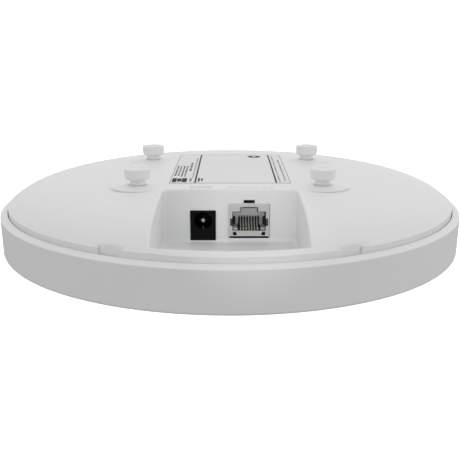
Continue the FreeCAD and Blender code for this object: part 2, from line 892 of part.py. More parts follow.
def power_parts():
    top = dim("board_top")
    node(chip("network_transformer", 7, -8, 16.5, 9.5, 5.8), "network_transformer")
    node(core(-34, -8), "power_transformer_core")
    bobbin = rod("power_transformer_winding", (-34, -8, top + 1.55), 4.4, 3.3)
    leg_hole = rod("winding_bore", (-34, -8, top), 2.6, 8)
    node(cut("power_transformer_coil", bobbin, [leg_hole]), "power_transformer_coil")
    spots = [(-52, -16), (-52, -4), (-52, 8)]
    coils = [chip("inductor_%d" % i, x, y, 7, 7, 4.2) for i, (x, y) in enumerate(spots)]
    node(group("power_inductors", coils), "power_inductors")
    spots = [(-20, -14), (-11, -14), (-20, -5)]
    cans = [rod("capacitor_%d" % i, (x, y, top), 3.6, 6.4) for i, (x, y) in enumerate(spots)]
    node(group("capacitors", cans), "capacitors")


def core(x, y):
    """Ferrite core: a block with a side channel round its centre leg."""
    top = dim("board_top")
    outer = chip("core_block", x, y, 13, 11, 6.4)
    channel = rod("core_channel", (x, y, top + 1.5), 4.6, 3.4)
    opening = block("core_opening", (x - 4.6, y - 7, top + 1.5), (x + 4.6, y + 7, top + 4.9))
    leg = rod("core_leg", (x, y, top + 1), 2.5, 4.4)
    hollow = cut("core_hollow", outer, [channel, opening])
    return fuse("power_transformer_core", [hollow, leg])


def antenna(name, angle, length, height):
    """Stamped antenna: an upright strip, a folded top and a solder foot."""
    top = dim("board_top")
    edge = board_radius - 5
    half = length / 2
    strip = block(name + "_strip", (edge, -half, top), (edge + 0.4, half, top + height))
    roof = block(name + "_roof", (edge - 4.5, -half, top + height - 0.4), (edge + 0.4, half, top + height))
    foot = block(name + "_foot", (edge - 2.5, -1.5, top), (edge + 0.4, 1.5, top + 0.4))
    gap = block(name + "_gap", (edge - 1, 2.5, top - 1), (edge + 1, half - 2, top + height * 0.45))
    shape = cut(name + "_shape", fuse(name + "_solid", [strip, roof, foot]), [gap])
    return turn_about_axis(name, shape, angle)


def antennas():
    low = [antenna("low_band_%d" % i, angle, 26, 6.5) for i, angle in enumerate((20, 160))]
    node(group("low_band_antennas", low), "low_band_antennas")
    high = [antenna("high_band_%d" % i, angle, 15, 5.0) for i, angle in enumerate((-22, 202))]
    node(group("high_band_antennas", high), "high_band_antennas")


def power_inlet():
    width = dim("inlet_width") / 2
    top = inlet_bottom + dim("inlet_height")
    back = inlet_face + dim("inlet_depth")
    bore = dim("inlet_bore_radius")
    shell = block("inlet_shell", (inlet_x - width, inlet_face, inlet_bottom),
                  (inlet_x + width, back, top))
    mouth = dim("inlet_mouth_radius")
    lead_in = cone("inlet_lead_in", (inlet_x, inlet_face - 0.01, inlet_z), mouth, bore,
                   mouth - bore, "back")
    hole = rod("inlet_bore", (inlet_x, inlet_face - 0.01, inlet_z), bore,
               dim("inlet_bore_depth"), "back")
    slot = dim("blade_slot") / 2
    groove = block("blade_groove",
                   (inlet_x - slot, inlet_face + dim("blade_setback") - 0.4,
                    inlet_z - bore - dim("groove_depth")),
                   (inlet_x + slot, inlet_face + dim("inlet_bore_depth"), inlet_z - bore / 2))
    socket = rod("pin_socket", (inlet_x, inlet_face + dim("inlet_bore_depth") - 1, inlet_z),
                 dim("inlet_pin_radius"), 3.5, "back")
    node(cut("inlet_housing", shell, [lead_in, hole, groove, socket]), "inlet_housing")
    inlet_pin()
    inlet_blade()
    inlet_terminals(back)


def inlet_pin():
    radius = dim("inlet_pin_radius")
    start = inlet_face + dim("inlet_pin_setback") + radius
    length = dim("inlet_bore_depth") - dim("inlet_pin_setback") - radius + 2
    stem = rod("pin_stem", (inlet_x, start, inlet_z), radius, length, "back")
    tip = doc.addObject("Part::Sphere", "pin_tip")
    bind(tip, {"Radius": radius})
    place(tip, (inlet_x, start, inlet_z))
    node(fuse("inlet_pin", [stem, tip]), "inlet_pin")


def inlet_blade():
    """Sprung side contact in the floor of the bore, which a plug presses down."""
    body = new_body("inlet_blade")
    bore = dim("inlet_bore_radius")
    thick = dim("blade_thickness")
    low = inlet_z - bore - dim("groove_depth") + dim("blade_drop")
    crest = low + dim("blade_rise")
    front = inlet_face + dim("blade_setback")
    back = front + dim("blade_length")
    sketch = new_sketch(body, "YZ_Plane", "blade_profile", inlet_x)
    outline(sketch, [
        (front, low), (back, low), (back, low + thick),
        (front + 2.6, low + thick), (front + 1.9, crest), (front + 1.1, crest),
        (front, low + thick),
    ])
    extrude("Pad", body, sketch, "blade", dim("blade_width"), True)
    node(body, "inlet_blade")


def inlet_terminals(back):
    """Three solder tabs on the board, behind and beside the housing."""
    top = dim("board_top")
    width = dim("inlet_width") / 2
    tabs = [
        block("tab_back", (inlet_x - 1.5, back, top), (inlet_x + 1.5, back + 2.2, top + 0.4)),
        block("tab_left", (inlet_x - width - 1.6, back - 6, top), (inlet_x - width, back - 3, top + 0.4)),
        block("tab_right", (inlet_x + width, back - 6, top), (inlet_x + width + 1.6, back - 3, top + 0.4)),
    ]
    node(group("inlet_terminals", tabs), "inlet_terminals")


def cavity_blocks(name, front, depth):
    """The plug's space: the wide cavity, the latch step and the keeper step over it."""
    levels = [
        (dim("cavity_width"), dim("cavity_bottom"), dim("cavity_height")),
        (dim("latch_width"), cavity_top - 0.1, dim("latch_height") + 0.1),
        (dim("keeper_width"), cavity_top + dim("latch_height") - 0.1, dim("keeper_height") + 0.1),
    ]
    return [block("%s_%d" % (name, i), (port_x - width / 2, front, low),
                  (port_x + width / 2, front + depth, low + height))
            for i, (width, low, height) in enumerate(levels)]


def network_port():
    half = dim("port_width") / 2
    metal = dim("port_sheet")
    low = dim("port_bottom")
    back = port_face + dim("port_depth")
    outer = block("port_outer", (port_x - half, port_face, low), (port_x + half, back, port_top))
    inner = block("port_inner", (port_x - half + metal, port_face + metal, low - 1),
                  (port_x + half - metal, back - metal, port_top - metal))
    mouth = cavity_blocks("port_mouth", port_face - 1, sized(2))
    windows = [block("ground_window_%d" % (side + 1),
                     (port_x + side * (half - 0.95) - 0.5, port_face - 1, dim("cavity_bottom") + 1.6),
                     (port_x + side * (half - 0.95) + 0.5, port_face + 1, dim("cavity_bottom") + 4.2))
               for side in (-1, 1)]
    node(cut("port_shield", outer, [inner] + mouth + windows), "port_shield")
    port_insert(half - metal - dim("insert_fit"), back - metal - dim("insert_fit"))
    port_contacts()


def port_insert(half, back):
    fit = dim("insert_fit")
    front = port_face + dim("port_sheet") + fit
    top = port_top - dim("port_sheet") - fit
    core_block = block("insert_core", (port_x - half, front, dim("port_bottom")), (port_x + half, back, top))
    foot = block("insert_foot", (port_x - half, -board_front + 0.3, dim("board_top")),
                 (port_x + half, back, dim("port_bottom") + 0.1))
    mouth = cavity_blocks("insert_mouth", front - 1, dim("cavity_depth") + 1)
    node(cut("port_insert", fuse("insert_solid", [core_block, foot]), mouth), "port_insert")


def port_contacts():
    """Eight spring wires, rooted near the mouth and rising to the back of the cavity."""
    wires = []
    low = dim("cavity_bottom") + dim("contact_clearance")
    start = port_face + dim("contact_setback")
    thick = dim("contact_thickness")
    run = dim("contact_run")
    rise = dim("contact_rise")
    for i in range(int(dim("contact_count").number)):
        body = new_body("wire_%d" % i)
        x = port_x + dim("contact_pitch") * (i - (dim("contact_count").number - 1) / 2)
        sketch = new_sketch(body, "YZ_Plane", "wire_profile_%d" % i, x)
        outline(sketch, [
            (start - 1, low), (start + 0.2, low), (start + run, low + rise),
            (start + run, low + rise + thick), (start, low + thick), (start - 1, low + thick),
        ])
        extrude("Pad", body, sketch, "wire_pad_%d" % i, dim("contact_width"), True)
        wires.append(body)
    node(group("port_contacts", wires), "port_contacts")


def status_light():
    half = dim("led_width") / 2
    led_bottom = board_bottom - dim("led_height")
    led = block("status_led", (-half, light_y - half, led_bottom), (half, light_y + half, board_bottom))
    node(led, "status_led")
    stem = rod("light_stem", (0, light_y, 0), dim("light_radius"), led_bottom - dim("light_gap"))
    flange = rod("light_flange", (0, light_y, dim("front_wall")), dim("light_flange_radius"),
                 dim("light_flange_height"))
    node(fuse("light_pipe", [stem, flange]), "light_pipe")


def reset_switch():
    half = dim("switch_width") / 2
    top = dim("board_top")
    housing = block("switch_block", (-half, switch_front - dim("switch_depth"), top),
                    (half, switch_front, top + dim("switch_height")))
    depth = dim("button_inside") + dim("button_travel") + 0.3
    bore = rod("switch_bore", (0, switch_front - depth, switch_z),
               dim("button_radius") + dim("button_fit"), depth + 1, "back")
    node(cut("switch_housing", housing, [bore]), "switch_housing")
    button = rod("reset_button", (0, switch_front - dim("button_inside"), switch_z),
                 dim("button_radius"), dim("button_length"), "back")
    node(button, "reset_button")


def write_parts():
    doc.recompute()
    for item in doc.Objects:
        if "Invalid" in item.State or "Error" in item.State:
            raise RuntimeError("%s did not build: %s" % (item.Name, item.State))
    for name, item in nodes.items():
        shape = item.Shape
        if shape.isNull() or not shape.isValid():
            raise RuntimeError(name + " has no valid shape")
        shape.exportStep("parts/%s.step" % name)
        print("%-24s %2d solid(s) %10.1f mm3" % (name, len(shape.Solids), shape.Volume))


front_cover()
rear_cover()
mounting_studs()
rating_label()
main_board()
board_screws()
heat_spreader()
spreader_screws()
chips_under_spreader()
power_parts()
antennas()
power_inlet()
network_port()
status_light()
reset_switch()
write_parts()
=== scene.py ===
import bmesh
import bpy
import json
import math
from mathutils import Matrix, Vector


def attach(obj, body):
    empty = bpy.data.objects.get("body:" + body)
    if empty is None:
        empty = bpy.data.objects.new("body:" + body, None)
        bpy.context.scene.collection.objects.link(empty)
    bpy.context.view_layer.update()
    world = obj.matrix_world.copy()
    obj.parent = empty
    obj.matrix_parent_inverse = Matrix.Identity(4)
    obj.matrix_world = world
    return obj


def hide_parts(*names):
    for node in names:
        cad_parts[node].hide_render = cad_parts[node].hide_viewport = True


# A round ceiling access point lying on its face, with its keyhole studs up.
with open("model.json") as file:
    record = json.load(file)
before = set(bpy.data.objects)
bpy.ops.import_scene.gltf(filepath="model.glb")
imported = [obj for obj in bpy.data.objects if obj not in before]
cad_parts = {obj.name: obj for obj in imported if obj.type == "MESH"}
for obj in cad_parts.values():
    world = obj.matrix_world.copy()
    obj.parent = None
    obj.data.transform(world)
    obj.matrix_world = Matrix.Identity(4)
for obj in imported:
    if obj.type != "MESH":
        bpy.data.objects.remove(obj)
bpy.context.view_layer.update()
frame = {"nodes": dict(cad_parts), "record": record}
nodes = frame["nodes"]
mm = 0.001
print("frame loaded")


def hexColor(code):
    channels = [int(code[i:i + 2], 16) / 255 for i in (1, 3, 5)]
    linear = [c / 12.92 if c <= 0.04045 else ((c + 0.055) / 1.055) ** 2.4 for c in channels]
    return (*linear, 1.0)


def addNode(tree, kind, inputs=None, **settings):
    node = tree.nodes.new(kind)
    for name, value in settings.items():
        setattr(node, name, value)
    for name, value in (inputs or {}).items():
        if isinstance(value, bpy.types.NodeSocket):
            tree.links.new(value, node.inputs[name])
        else:
            node.inputs[name].default_value = value
    return node


# Materials

def newMaterial(name):
    material = bpy.data.materials.new(name)
    material.use_nodes = True
    tree = material.node_tree
    position = addNode(tree, "ShaderNodeTexCoord").outputs["Object"]
    return material, tree, tree.nodes["Principled BSDF"], position


texture = {"patchDetail": 3.0, "patchRough": 0.55, "grainDetail": 4.0, "grainRough": 0.6, "grainLow": 0.3,
           "grainHigh": 0.7, "edgeStart": 0.985, "edgeFull": 0.86, "edgePolish": -0.12, "edgeSamples": 6}


def surface(name, look):  # colour patches, fine grain and edges rubbed lighter or darker
    material, tree, shader, position = newMaterial(name)
    stretch = look.get("stretch", (1, 1, 1))  # a brushed or drawn finish has long, thin grain
    place = addNode(tree, "ShaderNodeMapping", {"Vector": position, "Scale": stretch}).outputs["Vector"]
    patch = addNode(tree, "ShaderNodeTexNoise",
                    {"Vector": position, "Scale": 1 / (look["patchMm"] * mm),
                     "Detail": texture["patchDetail"], "Roughness": texture["patchRough"]})
    grain = addNode(tree, "ShaderNodeTexNoise",
                    {"Vector": place, "Scale": 1 / (look["grainMm"] * mm),
                     "Detail": texture["grainDetail"], "Roughness": texture["grainRough"]})
    color = addNode(tree, "ShaderNodeMix",
                    {"Factor": patch.outputs["Fac"], 6: hexColor(look["deep"]), 7: hexColor(look["light"])},
                    data_type="RGBA")
    rounded = addNode(tree, "ShaderNodeBevel", {"Radius": look["edgeMm"] * mm},
                      samples=texture["edgeSamples"])
    facet = addNode(tree, "ShaderNodeNewGeometry")
    turn = addNode(tree, "ShaderNodeVectorMath",
                   {0: rounded.outputs["Normal"], 1: facet.outputs["Normal"]}, operation="DOT_PRODUCT")
    edge = addNode(tree, "ShaderNodeMapRange",
                   {"Value": turn.outputs["Value"], "From Min": texture["edgeStart"],
                    "From Max": texture["edgeFull"], "To Min": 0.0, "To Max": 1.0})
    scuffed = addNode(tree, "ShaderNodeMath", {0: edge.outputs["Result"], 1: grain.outputs["Fac"]},
                      operation="MULTIPLY")
    rubbed = addNode(tree, "ShaderNodeMix",
                     {"Factor": scuffed.outputs["Value"], 6: color.outputs[2], 7: hexColor(look["worn"])},
                     data_type="RGBA")
    rough = addNode(tree, "ShaderNodeMapRange",
                    {"Value": grain.outputs["Fac"], "From Min": texture["grainLow"],
                     "From Max": texture["grainHigh"],
                     "To Min": look["roughLow"], "To Max": look["roughHigh"]})
    polished = addNode(tree, "ShaderNodeMath",
                       {0: scuffed.outputs["Value"], 1: texture["edgePolish"], 2: rough.outputs["Result"]},
                       operation="MULTIPLY_ADD")
    bump = addNode(tree, "ShaderNodeBump",
                   {"Height": grain.outputs["Fac"], "Strength": look["bump"],
                    "Distance": look["depthMm"] * mm, "Normal": rounded.outputs["Normal"]})
    tree.links.new(rubbed.outputs[2], shader.inputs["Base Color"])
    tree.links.new(polished.outputs["Value"], shader.inputs["Roughness"])
    tree.links.new(bump.outputs["Normal"], shader.inputs["Normal"])
    shader.inputs["Metallic"].default_value = look.get("metallic", 0.0)
    shader.inputs["Specular IOR Level"].default_value = look.get("sheen", 0.5)
    if not look.get("metallic"):
        shader.inputs["IOR"].default_value = look["ior"]
    return material, tree, shader, {"color": rubbed.outputs[2], "bump": bump, "position": position}


# ABS moulded in a spark-eroded tool: even, soft matte white with hardly any grain at arm's length
coverLook = {"light": "#eeeeee", "deep": "#ebecec", "worn": "#f2f2f1", "patchMm": 42, "grainMm": 0.5,
             "edgeMm": 0.18, "roughLow": 0.46, "roughHigh": 0.56, "bump": 0.12, "depthMm": 0.02, "ior": 1.5}
# polyester film, satin: smoother and a little cooler than the plastic round it
filmLook = {"light": "#e6e6e6", "deep": "#e4e4e4", "worn": "#dadada", "patchMm": 30, "grainMm": 0.8,
            "edgeMm": 0.08, "roughLow": 0.44, "roughHigh": 0.52, "bump": 0.05, "depthMm": 0.01, "ior": 1.5}
# glass-filled PBT, moulded black: dull, with greyer rubbed edges
blackLook = {"light": "#0d0d0e", "deep": "#080809", "worn": "#1c1c1e", "patchMm": 6, "grainMm": 0.25,
             "edgeMm": 0.12, "roughLow": 0.55, "roughHigh": 0.7, "bump": 0.2, "depthMm": 0.02, "ior": 1.5,
             "sheen": 0.12}
# natural PBT, moulded: pale grey, slightly translucent looking, satin
paleLook = {"light": "#eceded", "deep": "#e4e5e5", "worn": "#f2f2f2", "patchMm": 5, "grainMm": 0.3,
            "edgeMm": 0.1, "roughLow": 0.4, "roughHigh": 0.55, "bump": 0.12, "depthMm": 0.015, "ior": 1.55}
# cold-rolled strip, nickel plated: soft grey mirror with faint rolling lines along its width
nickelLook = {"light": "#d9d9d8", "deep": "#cfcfce", "worn": "#e6e5e2", "patchMm": 4, "grainMm": 0.35,
              "edgeMm": 0.1, "roughLow": 0.30, "roughHigh": 0.44, "bump": 0.12, "depthMm": 0.008,
              "metallic": 1.0, "stretch": (0.12, 1, 1)}
# phosphor bronze wire under a gold flash: warm and satin, its colour darkened below bright gold as painted
# shade of the port's dark cavity
goldShadeLook = {"light": "#93794a", "deep": "#755d34", "worn": "#b89f6c", "patchMm": 1.2, "grainMm": 0.12,
            "edgeMm": 0.05, "roughLow": 0.24, "roughHigh": 0.4, "bump": 0.1, "depthMm": 0.004,
            "metallic": 1.0, "stretch": (1, 0.15, 1)}
# steel, zinc plated and passivated: pale bluish grey, slightly cloudy
zincLook = {"light": "#c3c6ca", "deep": "#aeb1b6", "worn": "#dcdddf", "patchMm": 2, "grainMm": 0.3,
            "edgeMm": 0.12, "roughLow": 0.26, "roughHigh": 0.42, "bump": 0.15, "depthMm": 0.01,
            "metallic": 1.0}
# steel strip, tin plated: dull silver with drawn lines
tinLook = {"light": "#c6c5c0", "deep": "#b4b3ad", "worn": "#dddcd7", "patchMm": 5, "grainMm": 0.4,
           "edgeMm": 0.12, "roughLow": 0.32, "roughHigh": 0.5, "bump": 0.14, "depthMm": 0.01,
           "metallic": 1.0, "stretch": (0.2, 1, 1)}
# die-cast aluminium: grainy light grey skin
castLook = {"light": "#b9babb", "deep": "#a4a5a7", "worn": "#d3d4d5", "patchMm": 8, "grainMm": 0.6,
            "edgeMm": 0.25, "roughLow": 0.45, "roughHigh": 0.62, "bump": 0.35, "depthMm": 0.04,
            "metallic": 1.0}
# epoxy moulding compound: charcoal, fine spark finish
epoxyLook = {"light": "#1d1d1f", "deep": "#161618", "worn": "#353538", "patchMm": 4, "grainMm": 0.15,
             "edgeMm": 0.12, "roughLow": 0.5, "roughHigh": 0.66, "bump": 0.25, "depthMm": 0.012,
             "ior": 1.55}
# ceramic-filled silicone gap pad: chalky blue grey, soft and quite rough
siliconeLook = {"light": "#8ea0ac", "deep": "#7f929e", "worn": "#9fb0bb", "patchMm": 3, "grainMm": 0.35,
                "edgeMm": 0.3, "roughLow": 0.7, "roughHigh": 0.85, "bump": 0.4, "depthMm": 0.03,
                "ior": 1.42}
# sintered manganese-zinc ferrite: dark grey, stony, chipped lighter at its edges
ferriteLook = {"light": "#2b2b2d", "deep": "#202022", "worn": "#4a4a4d", "patchMm": 3, "grainMm": 0.2,
               "edgeMm": 0.25, "roughLow": 0.45, "roughHigh": 0.7, "bump": 0.4, "depthMm": 0.02, "ior": 1.8}
# capacitor can, drawn aluminium: bright, with fine upright drawing lines
canLook = {"light": "#cfd0d1", "deep": "#bebfc1", "worn": "#e2e3e3", "patchMm": 4, "grainMm": 0.25,
           "edgeMm": 0.25, "roughLow": 0.28, "roughHigh": 0.42, "bump": 0.12, "depthMm": 0.008,
           "metallic": 1.0, "stretch": (1, 1, 0.12)}
# acetal switch plunger: dark, waxy
plungerLook = {"light": "#1c1c1e", "deep": "#151517", "worn": "#303033", "patchMm": 1.5, "grainMm": 0.12,
               "edgeMm": 0.15, "roughLow": 0.3, "roughHigh": 0.45, "bump": 0.1, "depthMm": 0.006,
               "ior": 1.48}
# spring steel, tempered blue-grey, darkened further as painted shade: dim, so that only its edge shows in
# the dark bore
temperShadeLook = {"light": "#55575b", "deep": "#44464a", "worn": "#7d7f83", "patchMm": 1.5, "grainMm": 0.15,
              "edgeMm": 0.06, "roughLow": 0.35, "roughHigh": 0.5, "bump": 0.1, "depthMm": 0.004,
              "metallic": 1.0, "stretch": (1, 0.2, 1)}
# pad-printed ink: flat dark grey, a little uneven in density
inkLook = {"light": "#1e1e20", "deep": "#151517", "worn": "#333335", "patchMm": 1.5, "grainMm": 0.2,
           "edgeMm": 0.02, "roughLow": 0.5, "roughHigh": 0.62, "bump": 0.1, "depthMm": 0.004, "ior": 1.5,
           "sheen": 0.1}
# the same ink screened to a grey tint, for the small lines of the rating plate
tintLook = {"light": "#7c7d7f", "deep": "#6b6c6e", "worn": "#87888a", "patchMm": 1.0, "grainMm": 0.2,
            "edgeMm": 0.02, "roughLow": 0.5, "roughHigh": 0.62, "bump": 0.1, "depthMm": 0.004, "ior": 1.5}

boardLook = {"light": "#0f5a38", "deep": "#0b4a2f", "worn": "#b98a4a", "patchMm": 12, "grainMm": 0.5,
             "edgeMm": 0.15, "roughLow": 0.26, "roughHigh": 0.38, "bump": 0.15, "depthMm": 0.01,
             "ior": 1.52}
boardTrack = {"color": "#1c7a4f", "cellMm": 2.6, "lineMm": 0.16, "lineCore": 0.6, "reliefMm": 0.035,
              "relief": 0.5, "viaMm": 3.4, "viaEdge": 0.085, "viaCore": 0.07, "viaSpread": 0.9,
              "viaColor": "#c9a85c"}


# FR4 under green solder mask: glossy, with lighter raised copper tracks and bare vias
def circuitBoard(look, track):
    material, tree, shader, parts = surface("solderMaskedFr4", look)
    cells = addNode(tree, "ShaderNodeTexVoronoi",
                    {"Vector": parts["position"], "Scale": 1 / (track["cellMm"] * mm)},
                    feature="DISTANCE_TO_EDGE", distance="EUCLIDEAN")
    halfLine = track["lineMm"] / track["cellMm"]
    line = addNode(tree, "ShaderNodeMapRange",
                   {"Value": cells.outputs["Distance"], "From Min": halfLine,
                    "From Max": halfLine * track["lineCore"], "To Min": 0.0, "To Max": 1.0})
    dots = addNode(tree, "ShaderNodeTexVoronoi",
                   {"Vector": parts["position"], "Scale": 1 / (track["viaMm"] * mm),
                    "Randomness": track["viaSpread"]})
    via = addNode(tree, "ShaderNodeMapRange",
                  {"Value": dots.outputs["Distance"], "From Min": track["viaEdge"],
                   "From Max": track["viaCore"], "To Min": 0.0, "To Max": 1.0})
    tracked = addNode(tree, "ShaderNodeMix",
                      {"Factor": line.outputs["Result"], 6: parts["color"], 7: hexColor(track["color"])},
                      data_type="RGBA")
    plated = addNode(tree, "ShaderNodeMix",
                     {"Factor": via.outputs["Result"], 6: tracked.outputs[2],
                      7: hexColor(track["viaColor"])},
                     data_type="RGBA")
    tree.links.new(plated.outputs[2], shader.inputs["Base Color"])
    tree.links.new(via.outputs["Result"], shader.inputs["Metallic"])
    relief = addNode(tree, "ShaderNodeBump",
                     {"Height": line.outputs["Result"], "Strength": track["relief"],
                      "Distance": track["reliefMm"] * mm, "Normal": parts["bump"].outputs["Normal"]})
    tree.links.new(relief.outputs["Normal"], shader.inputs["Normal"])
    return material


copperLook = {"light": "#b5673a", "deep": "#94502b", "worn": "#cf8655", "patchMm": 2, "grainMm": 0.3,
              "edgeMm": 0.2, "roughLow": 0.25, "roughHigh": 0.38, "bump": 0.1, "depthMm": 0.01,
              "metallic": 1.0}
winding = {"wireMm": 0.25, "bandAtScaleOne": 0.314, "relief": 0.8, "reliefMm": 0.1}


def woundCopper(look, wound):  # enamelled wire laid in even turns: warm, glossy ridges one wire apart
    material, tree, shader, parts = surface("enamelledCopperWire", look)
    turns = addNode(tree, "ShaderNodeTexWave",
                    {"Vector": parts["position"],
                     "Scale": wound["bandAtScaleOne"] / (wound["wireMm"] * mm)},
                    wave_type="BANDS", bands_direction="Z", wave_profile="SIN")
    relief = addNode(tree, "ShaderNodeBump",
                     {"Height": turns.outputs["Fac"], "Strength": wound["relief"],
                      "Distance": wound["reliefMm"] * mm, "Normal": parts["bump"].outputs["Normal"]})
    tree.links.new(relief.outputs["Normal"], shader.inputs["Normal"])
    return material


# frosted acrylic rod and clear epoxy lens: light passes in but is scattered, so they glow at the rim
guideLook = {"light": "#f2f4f5", "deep": "#e8ebed", "worn": "#fafbfb", "patchMm": 3, "grainMm": 0.2,
             "edgeMm": 0.15, "roughLow": 0.28, "roughHigh": 0.4, "bump": 0.15, "depthMm": 0.01, "ior": 1.49}
resinLook = {"light": "#ece9d4", "deep": "#e0dcc2", "worn": "#f5f3e6", "patchMm": 0.8, "grainMm": 0.1,
             "edgeMm": 0.1, "roughLow": 0.12, "roughHigh": 0.2, "bump": 0.05, "depthMm": 0.004, "ior": 1.54}


def clearPlastic(name, look, clearness):
    material, _, shader, _ = surface(name, look)
    shader.inputs["Transmission Weight"].default_value = clearness
    return material


finishes = {
    "cover_plastic": surface("matteMouldedAbs", coverLook)[0],
    "label_film": surface("satinPolyesterFilm", filmLook)[0],
    "circuit_board": circuitBoard(boardLook, boardTrack),
    "plated_steel": surface("zincPlatedSteel", zincLook)[0],
    "cast_aluminium": surface("dieCastAluminium", castLook)[0],
    "chip_resin": surface("mouldedEpoxy", epoxyLook)[0],
    "thermal_silicone": surface("filledSiliconePad", siliconeLook)[0],
    "tinned_steel": surface("tinPlatedStrip", tinLook)[0],
    "ferrite": surface("sinteredFerrite", ferriteLook)[0],
    "copper_winding": woundCopper(copperLook, winding),
    "capacitor_can": surface("drawnAluminiumCan", canLook)[0],
    "black_plastic": surface("blackMouldedPbt", blackLook)[0],
    "nickel_shell": surface("nickelPlatedStrip", nickelLook)[0],
    "gold_contact": surface("goldFlashedBronzePaintedShade", goldShadeLook)[0],
    "led_lens": clearPlastic("clearLedResin", resinLook, clearness=0.5),
    "light_guide": clearPlastic("frostedAcrylic", guideLook, clearness=0.35),
    "switch_plastic": surface("mouldedAcetal", plungerLook)[0],
}
palePlastic = surface("paleMouldedPbt", paleLook)[0]
shadedTemperedSteel = surface("temperedSpringSteelPaintedShade", temperShadeLook)[0]
printInk = surface("padPrintedInk", inkLook)[0]
printTint = surface("screenedInkTint", tintLook)[0]

for part in frame["record"]["subparts"]:
    mesh = nodes[part["node"]].data
    mesh.materials.clear()
    mesh.materials.append(finishes[part["material_slot"]])
# the inlet's spring blade gets the steel darkened as painted shade of the bore
nodes["inlet_blade"].data.materials[0] = shadedTemperedSteel
print("materials on every part")


# Geometry Nodes trees

weldDistance = 1e-6


def newTree(name, sizes):
    tree = bpy.data.node_groups.new(name, "GeometryNodeTree")
    tree.interface.new_socket("Geometry", in_out="OUTPUT", socket_type="NodeSocketGeometry")
    tree.interface.new_socket("Geometry", in_out="INPUT", socket_type="NodeSocketGeometry")
    tree.interface.new_socket("Material", in_out="INPUT", socket_type="NodeSocketMaterial")
    for label, value in sizes.items():
        kind = "NodeSocketInt" if isinstance(value, int) else "NodeSocketFloat"
        tree.interface.new_socket(label, in_out="INPUT", socket_type=kind).default_value = value
    return tree, addNode(tree, "NodeGroupInput").outputs


def closeTree(tree, geometry, source):
    real = addNode(tree, "GeometryNodeRealizeInstances", {"Geometry": geometry})
    painted = addNode(tree, "GeometryNodeSetMaterial",
                      {"Geometry": real.outputs["Geometry"], "Material": source["Material"]})
    addNode(tree, "NodeGroupOutput", {"Geometry": painted.outputs["Geometry"]})
    return tree


def turnedTree():  # a profile of points is turned about the upright axis
    tree, source = newTree("turnedProfile", {"Segments": 96, "Profile Points": 8})
    columns = addNode(tree, "ShaderNodeMath", {0: source["Segments"], 1: 1.0}, operation="ADD")
    grid = addNode(tree, "GeometryNodeMeshGrid",
                   {"Size X": 1.0, "Size Y": 1.0, "Vertices X": columns.outputs[0],
                    "Vertices Y": source["Profile Points"]})
    position = addNode(tree, "GeometryNodeInputPosition").outputs["Position"]
    split = addNode(tree, "ShaderNodeSeparateXYZ", {"Vector": position})
    angle = addNode(tree, "ShaderNodeMath", {0: split.outputs["X"], 1: math.tau, 2: math.pi},
                    operation="MULTIPLY_ADD")
    steps = addNode(tree, "ShaderNodeMath", {0: source["Profile Points"], 1: 1.0}, operation="SUBTRACT")
    share = addNode(tree, "ShaderNodeMath", {0: split.outputs["Y"], 1: 0.5}, operation="ADD")
    along = addNode(tree, "ShaderNodeMath", {0: share.outputs[0], 1: steps.outputs[0]},
                    operation="MULTIPLY")
    row = addNode(tree, "ShaderNodeMath", {0: along.outputs[0]}, operation="ROUND")
    sample = addNode(tree, "GeometryNodeSampleIndex", data_type="FLOAT_VECTOR", domain="POINT")
    tree.links.new(source["Geometry"], sample.inputs["Geometry"])
    tree.links.new(position, sample.inputs["Value"])
    tree.links.new(row.outputs[0], sample.inputs["Index"])
    point = addNode(tree, "ShaderNodeSeparateXYZ", {"Vector": sample.outputs["Value"]})
    cosine = addNode(tree, "ShaderNodeMath", {0: angle.outputs[0]}, operation="COSINE")
    sine = addNode(tree, "ShaderNodeMath", {0: angle.outputs[0]}, operation="SINE")
    x = addNode(tree, "ShaderNodeMath", {0: point.outputs["X"], 1: cosine.outputs[0]}, operation="MULTIPLY")
    y = addNode(tree, "ShaderNodeMath", {0: point.outputs["X"], 1: sine.outputs[0]}, operation="MULTIPLY")
    turned = addNode(tree, "ShaderNodeCombineXYZ",
                     {"X": x.outputs[0], "Y": y.outputs[0], "Z": point.outputs["Z"]})
    moved = addNode(tree, "GeometryNodeSetPosition",
                    {"Geometry": grid.outputs["Mesh"], "Position": turned.outputs["Vector"]})
    merged = addNode(tree, "GeometryNodeMergeByDistance",
                     {"Geometry": moved.outputs["Geometry"], "Distance": weldDistance})
    return closeTree(tree, merged.outputs["Geometry"], source)


def gridTree():  # copies on a rectangular pattern, one row of which is a line of copies
    tree, source = newTree("copiesOnGrid",
                           {"Copies X": 2, "Copies Y": 2, "Spacing X": 0.01, "Spacing Y": 0.01,
                            "Centre X": 0.0, "Centre Y": 0.0})
    spans = []
    for axis in "XY":
        gaps = addNode(tree, "ShaderNodeMath", {0: source["Copies " + axis], 1: 1.0}, operation="SUBTRACT")
        spans.append(addNode(tree, "ShaderNodeMath", {0: gaps.outputs[0], 1: source["Spacing " + axis]},
                             operation="MULTIPLY").outputs[0])
    grid = addNode(tree, "GeometryNodeMeshGrid", {"Size X": spans[0], "Size Y": spans[1],
                                                  "Vertices X": source["Copies X"],
                                                  "Vertices Y": source["Copies Y"]})
    centre = addNode(tree, "ShaderNodeCombineXYZ", {"X": source["Centre X"], "Y": source["Centre Y"]})
    moved = addNode(tree, "GeometryNodeTransform",
                    {"Geometry": grid.outputs["Mesh"], "Translation": centre.outputs["Vector"]})
    copies = addNode(tree, "GeometryNodeInstanceOnPoints",
                     {"Points": moved.outputs["Geometry"], "Instance": source["Geometry"]})
    return closeTree(tree, copies.outputs["Instances"], source)


